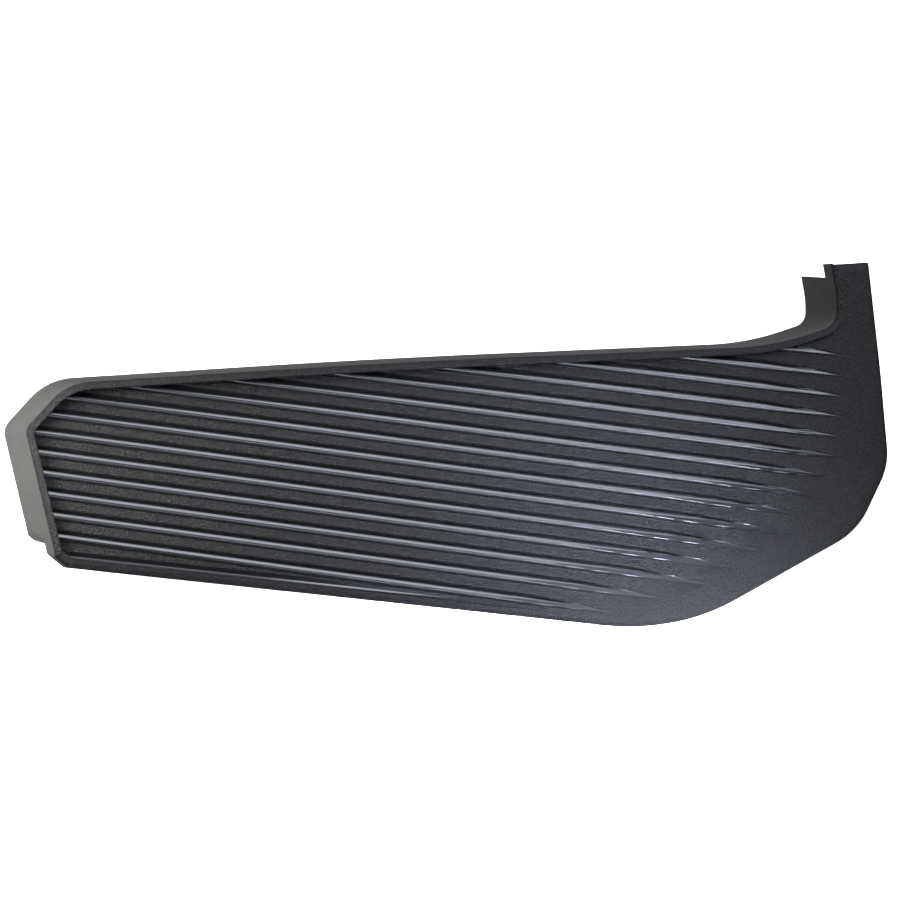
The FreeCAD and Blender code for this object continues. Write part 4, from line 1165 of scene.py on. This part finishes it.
spring = spring_steel()
bm, barbs = bmesh.new(), bmesh.new()
clip_half = (CLIP_RIB + CLIP_GAUGE) / 2
for x in CLIP_PLACES:
    start = wall_line(x) - CLIP_SET_IN
    low = CLIP_LOW + CLIP_GAUGE / 2
    extruded(bm, bent_outline([
        (x - clip_half, CLIP_HIGH, 0.0), (x - clip_half, low, 0.9), (x + clip_half, low, 0.9),
        (x + clip_half, CLIP_HIGH, 0.0),
    ], CLIP_GAUGE), start, start + CLIP_WIDTH, across_wall)
    for side in (-1, 1):
        middle = x + side * (CLIP_RIB / 2 + CLIP_GAUGE)
        block(barbs, (middle - 0.3, start + 3.0, 9.0), (middle + 0.3, start + 3.3, 13.0))
        block(barbs, (middle - 0.3, start + 5.7, 9.0), (middle + 0.3, start + 6.0, 13.0))
        block(barbs, (middle - 0.3, start + 3.0, 8.8), (middle + 0.3, start + 6.0, 9.1))
clips = object_from(bm, "folded_sill_clips", [spring])
combine(clips, object_from(barbs, "barb_cuts", [spring]), "DIFFERENCE", self_overlap=True)
finished(rolled_edges(clips, 0.08), "sill_clips")

# ------------------------------------------------------------------ outer edge angle
# A length of extruded aluminium angle inside the outer return stiffens the long free edge. It is left
# as extruded, with fine die lines, and pan-head screws hold it up to the floor webs.

ANGLE_START, ANGLE_LENGTH, ANGLE_LEVEL = -232.0, 320.0, 26.0
ANGLE_LEG, ANGLE_GAUGE, ANGLE_INSET = 11.0, 2.0, 3.6
ANGLE_SCREW_PLACES = [25.0 + 90.0 * index for index in range(4)]
ANGLE_SCREW_INSET, ANGLE_SCREW_RADIUS = 11.0, 1.8
EDGE_ALONG = (EDGE_TO - EDGE_FROM).normalized()
EDGE_ACROSS = Vector((-EDGE_ALONG.y, EDGE_ALONG.x))


def along_edge(along, across, height):
    """X, Y and Z of a point in the angle's own frame, which starts at its outer corner."""
    corner = Vector((ANGLE_START, outer_line(ANGLE_START) + ANGLE_INSET))
    point = corner + EDGE_ALONG * along + EDGE_ACROSS * across
    return point.x, point.y, height


def angle_aluminium():
    """Mill-finish extrusion: a bright soft grey with fine die lines along its length and a light oxide
    haze."""
    material, tree = new_material("mill_finish_aluminium")
    place = add_node(tree, "ShaderNodeTexCoord")
    turn = add_node(tree, "ShaderNodeMapping",
                    {"Rotation": (0.0, 0.0, math.atan2(-EDGE_ALONG.y, EDGE_ALONG.x)),
                                                "Scale": (0.02, 1.0, 1.0)}, {"Vector": (place, "Object")})
    lines = add_node(tree, "ShaderNodeTexNoise", {"Scale": 1 / (0.5 * MM), "Detail": 4.0},
                     {"Vector": (turn, "Vector")})
    haze = add_node(tree, "ShaderNodeTexNoise", {"Scale": 1 / (15 * MM), "Detail": 4.0},
                    {"Vector": (place, "Object")})
    bump = add_node(tree, "ShaderNodeBump", {"Strength": 0.4, "Distance": 0.02 * MM}, {"Height": (lines, 0)})
    colour = add_node(tree, "ShaderNodeMix",
                      {"data_type": "RGBA", 6: linear("#c9cbcd"), 7: linear("#a3a6a8")},
                      {0: (haze, 0)})
    rough = add_node(tree, "ShaderNodeMapRange", {"To Min": 0.28, "To Max": 0.48}, {"Value": (haze, 0)})
    shader = add_node(tree, "ShaderNodeBsdfPrincipled", {"Metallic": 1.0},
                      {"Base Color": (colour, 2), "Roughness": (rough, "Result"), "Normal": (bump, "Normal")})
    close_material(tree, shader)
    return material


def edge_place(along, inset):
    start_line = outer_line(ANGLE_START + along) + inset
    return ANGLE_START + along, start_line


aluminium = angle_aluminium()
leg, gauge, level = ANGLE_LEG, ANGLE_GAUGE, ANGLE_LEVEL
bm = bmesh.new()
extruded(bm, [
    (0.0, level), (leg, level), (leg, level + gauge), (gauge + 0.8, level + gauge),
    (gauge + 0.23, level + gauge + 0.23),
    (gauge, level + gauge + 0.8), (gauge, level + leg), (0.0, level + leg),
], 0.0, ANGLE_LENGTH, along_edge)
angle = object_from(bm, "extruded_edge_angle", [aluminium])
edge_screws = [edge_place(along, ANGLE_SCREW_INSET) for along in ANGLE_SCREW_PLACES]
pierced(angle, [(x, y, ANGLE_SCREW_RADIUS + 0.1) for x, y in edge_screws], level - 2, level + 4, aluminium)
finished(rolled_edges(angle, 0.15), "outer_edge_angle")

# ------------------------------------------------------------------ edge angle screws
# Self-tapping pan-head screws, zinc plated, each with a cross recess in a head that is domed at its rim.

HEAD_RADIUS, HEAD_HEIGHT = 4.0, 2.5
EDGE_SCREW_TOP = 33.0
bm, recesses = bmesh.new(), bmesh.new()
for x, y in edge_screws:
    low = level - HEAD_HEIGHT
    dome = [(HEAD_RADIUS * math.sin(math.radians(a)), level - 0.5 - 2.0 * math.cos(math.radians(a)))
            for a in (0, 20, 35, 50, 65, 80, 90)]
    turned(bm, x, y, dome + [(HEAD_RADIUS, level), (ANGLE_SCREW_RADIUS, level)]
           + thread(level + 2.2, EDGE_SCREW_TOP - 1.5, ANGLE_SCREW_RADIUS, ANGLE_SCREW_RADIUS - 0.5, 1.3)
           + [(0.0, EDGE_SCREW_TOP)])
    for wide, deep in ((1.9, 0.45), (0.45, 1.9)):
        block(recesses, (x - wide, y - deep, low - 1), (x + wide, y + deep, low + 1.4))
screws = object_from(bm, "plated_edge_screws", [zinc])
combine(screws, object_from(recesses, "cross_recesses", [zinc]), "DIFFERENCE", self_overlap=True)
screws.data.shade_smooth()
screws.data.set_sharp_from_angle(angle=math.radians(28))
finished(screws, "edge_angle_screws")

# ------------------------------------------------------------------ damping foam
# Four blocks of closed-cell foam die cut from 5 mm sheet and bonded under the floor between the webs.
# The knife leaves the long edges square and the corners slightly pinched.

FOAM_PLACES = [-250.0, -178.0, -34.0, 38.0]
FOAM_LINE = 20.0
FOAM_SIZE = (44.0, 18.0, 5.0)
FOAM_DROP = FLOOR_GAUGE + 5.0 + 0.15


def foam():
    """Charcoal polyethylene foam: dry and very matt, pitted with cut cells under a millimetre wide."""
    material, tree = new_material("charcoal_closed_cell_foam")
    place = add_node(tree, "ShaderNodeTexCoord")
    cell = add_node(tree, "ShaderNodeTexVoronoi", {"Scale": 1 / (0.7 * MM)}, {"Vector": (place, "Object")})
    cloud = add_node(tree, "ShaderNodeTexNoise", {"Scale": 1 / (6 * MM), "Detail": 4.0},
                     {"Vector": (place, "Object")})
    bump = add_node(tree, "ShaderNodeBump", {"Strength": 0.9, "Distance": 0.2 * MM},
                    {"Height": (cell, "Distance")})
    colour = add_node(tree, "ShaderNodeMix",
                      {"data_type": "RGBA", 6: linear("#3b3c3e"), 7: linear("#26272a")},
                      {0: (cell, "Distance")})
    rough = add_node(tree, "ShaderNodeMapRange", {"To Min": 0.86, "To Max": 0.98}, {"Value": (cloud, 0)})
    shader = add_node(tree, "ShaderNodeBsdfPrincipled", {"IOR": 1.4, "Specular IOR Level": 0.3},
                      {"Base Color": (colour, 2), "Roughness": (rough, "Result"), "Normal": (bump, "Normal")})
    close_material(tree, shader)
    return material


bm = bmesh.new()
FLOOR_MIDDLE, FLOOR_RISE_X, FLOOR_RISE_Y = 42.2, 0.0157, -0.0316     # the plane of the floor's underside
floor_normal = Vector((-FLOOR_RISE_X, -FLOOR_RISE_Y, 1.0)).normalized()
lean = Vector((0.0, 0.0, 1.0)).rotation_difference(floor_normal).to_matrix().to_4x4()
for x in FOAM_PLACES:
    height = FLOOR_MIDDLE + FLOOR_RISE_X * x + FLOOR_RISE_Y * FOAM_LINE - FOAM_DROP
    corner = Vector((x, FOAM_LINE, height))
    made = bmesh.ops.create_cube(bm, size=1.0, matrix=Matrix.Translation((0.5, 0.5, 0.5)))["verts"]
    bmesh.ops.transform(bm, matrix=Matrix.Translation(corner) @ lean @ Matrix.Diagonal((*FOAM_SIZE, 1.0)),
                        verts=made)
pads = object_from(bm, "die_cut_foam_pads", [foam()])
finished(rolled_edges(pads, 0.35), "damping_foam")

# ------------------------------------------------------------------ photographer's table
# A plain pale table that the board lies on, tread up, lit by soft boxes.

table_material, tree = new_material("pale_table")
shader = add_node(tree, "ShaderNodeBsdfPrincipled", {
    "Base Color": linear("#f4f4f4"), "Roughness": 0.9, "Emission Color": linear("#ffffff"),
    "Emission Strength": 0.9,
})
close_material(tree, shader)
TABLE_HALF_WIDTH, TABLE_DROP = 4000.0, 0.3
bm = bmesh.new()
bmesh.ops.create_grid(
    bm, x_segments=1, y_segments=1, size=TABLE_HALF_WIDTH, matrix=Matrix.Translation((0, 0, -TABLE_DROP))
)
table = object_from(bm, "table", [table_material])
# the board stands clear of the table's reflections, as on a light tent's floor
table.visible_glossy = False


def soft_box(name, place, target, width, height, power, colour, spread=180.0):
    lamp = bpy.data.lights.new(name, "AREA")
    lamp.shape = "RECTANGLE"
    lamp.size, lamp.size_y = width, height
    lamp.energy = power
    lamp.spread = math.radians(spread)
    lamp.color = linear(colour)[:3]
    obj = bpy.data.objects.new(name, lamp)
    obj.location = place
    obj.rotation_euler = (Vector(target) - Vector(place)).to_track_quat("-Z", "Y").to_euler()
    bpy.context.scene.collection.objects.link(obj)
    return obj


soft_box("key_box", (0.40, 1.05, 0.98), (0.0, 0.0, 0.03), 1.2, 1.6, 56.0, "#eef2ff")
soft_box("low_box", (0.45, -0.45, 0.55), (0.13, -0.14, 0.05), 0.15, 0.15, 1.3, "#dbe6ff", 30.0)
soft_box("end_box", (-0.62, 0.06, 0.26), (-0.31, 0.0, 0.02), 0.2, 0.3, 1.5, "#ffffff", 50.0)
soft_box("front_box", (0.35, -1.10, 0.45), (0.0, -0.1, 0.03), 1.2, 0.3, 16.0, "#e8eeff")

world = bpy.data.worlds.new("studio")
world.use_nodes = True
world.node_tree.nodes["Background"].inputs["Color"].default_value = (1.0, 1.0, 1.0, 1.0)
world.node_tree.nodes["Background"].inputs["Strength"].default_value = 0.05
bpy.context.scene.world = world
bpy.context.scene.view_settings.view_transform = "Standard"

# Camera: 3 m away, turned 20 degrees round the board towards its narrow end.
CAMERA_DISTANCE = 3.0
CAMERA_TURN = math.radians(20.0)
AIM = Vector((-16.1 * MM, -5.2 * MM, BOARD_HEIGHT * MM))
back = Vector((-math.sin(CAMERA_TURN), 0.0, math.cos(CAMERA_TURN)))
camera_data = bpy.data.cameras.new("camera")
camera_data.sensor_width = 36.0
camera_data.lens = 176.5
camera = bpy.data.objects.new("camera", camera_data)
right = Vector((math.cos(CAMERA_TURN), 0.0, math.sin(CAMERA_TURN)))
up = Vector((0.0, 1.0, 0.0))
camera.matrix_world = Matrix.Translation(AIM + back * CAMERA_DISTANCE) @ Matrix((right, up,
                                                                                 back)).transposed().to_4x4()
bpy.context.scene.collection.objects.link(camera)
bpy.context.scene.camera = camera
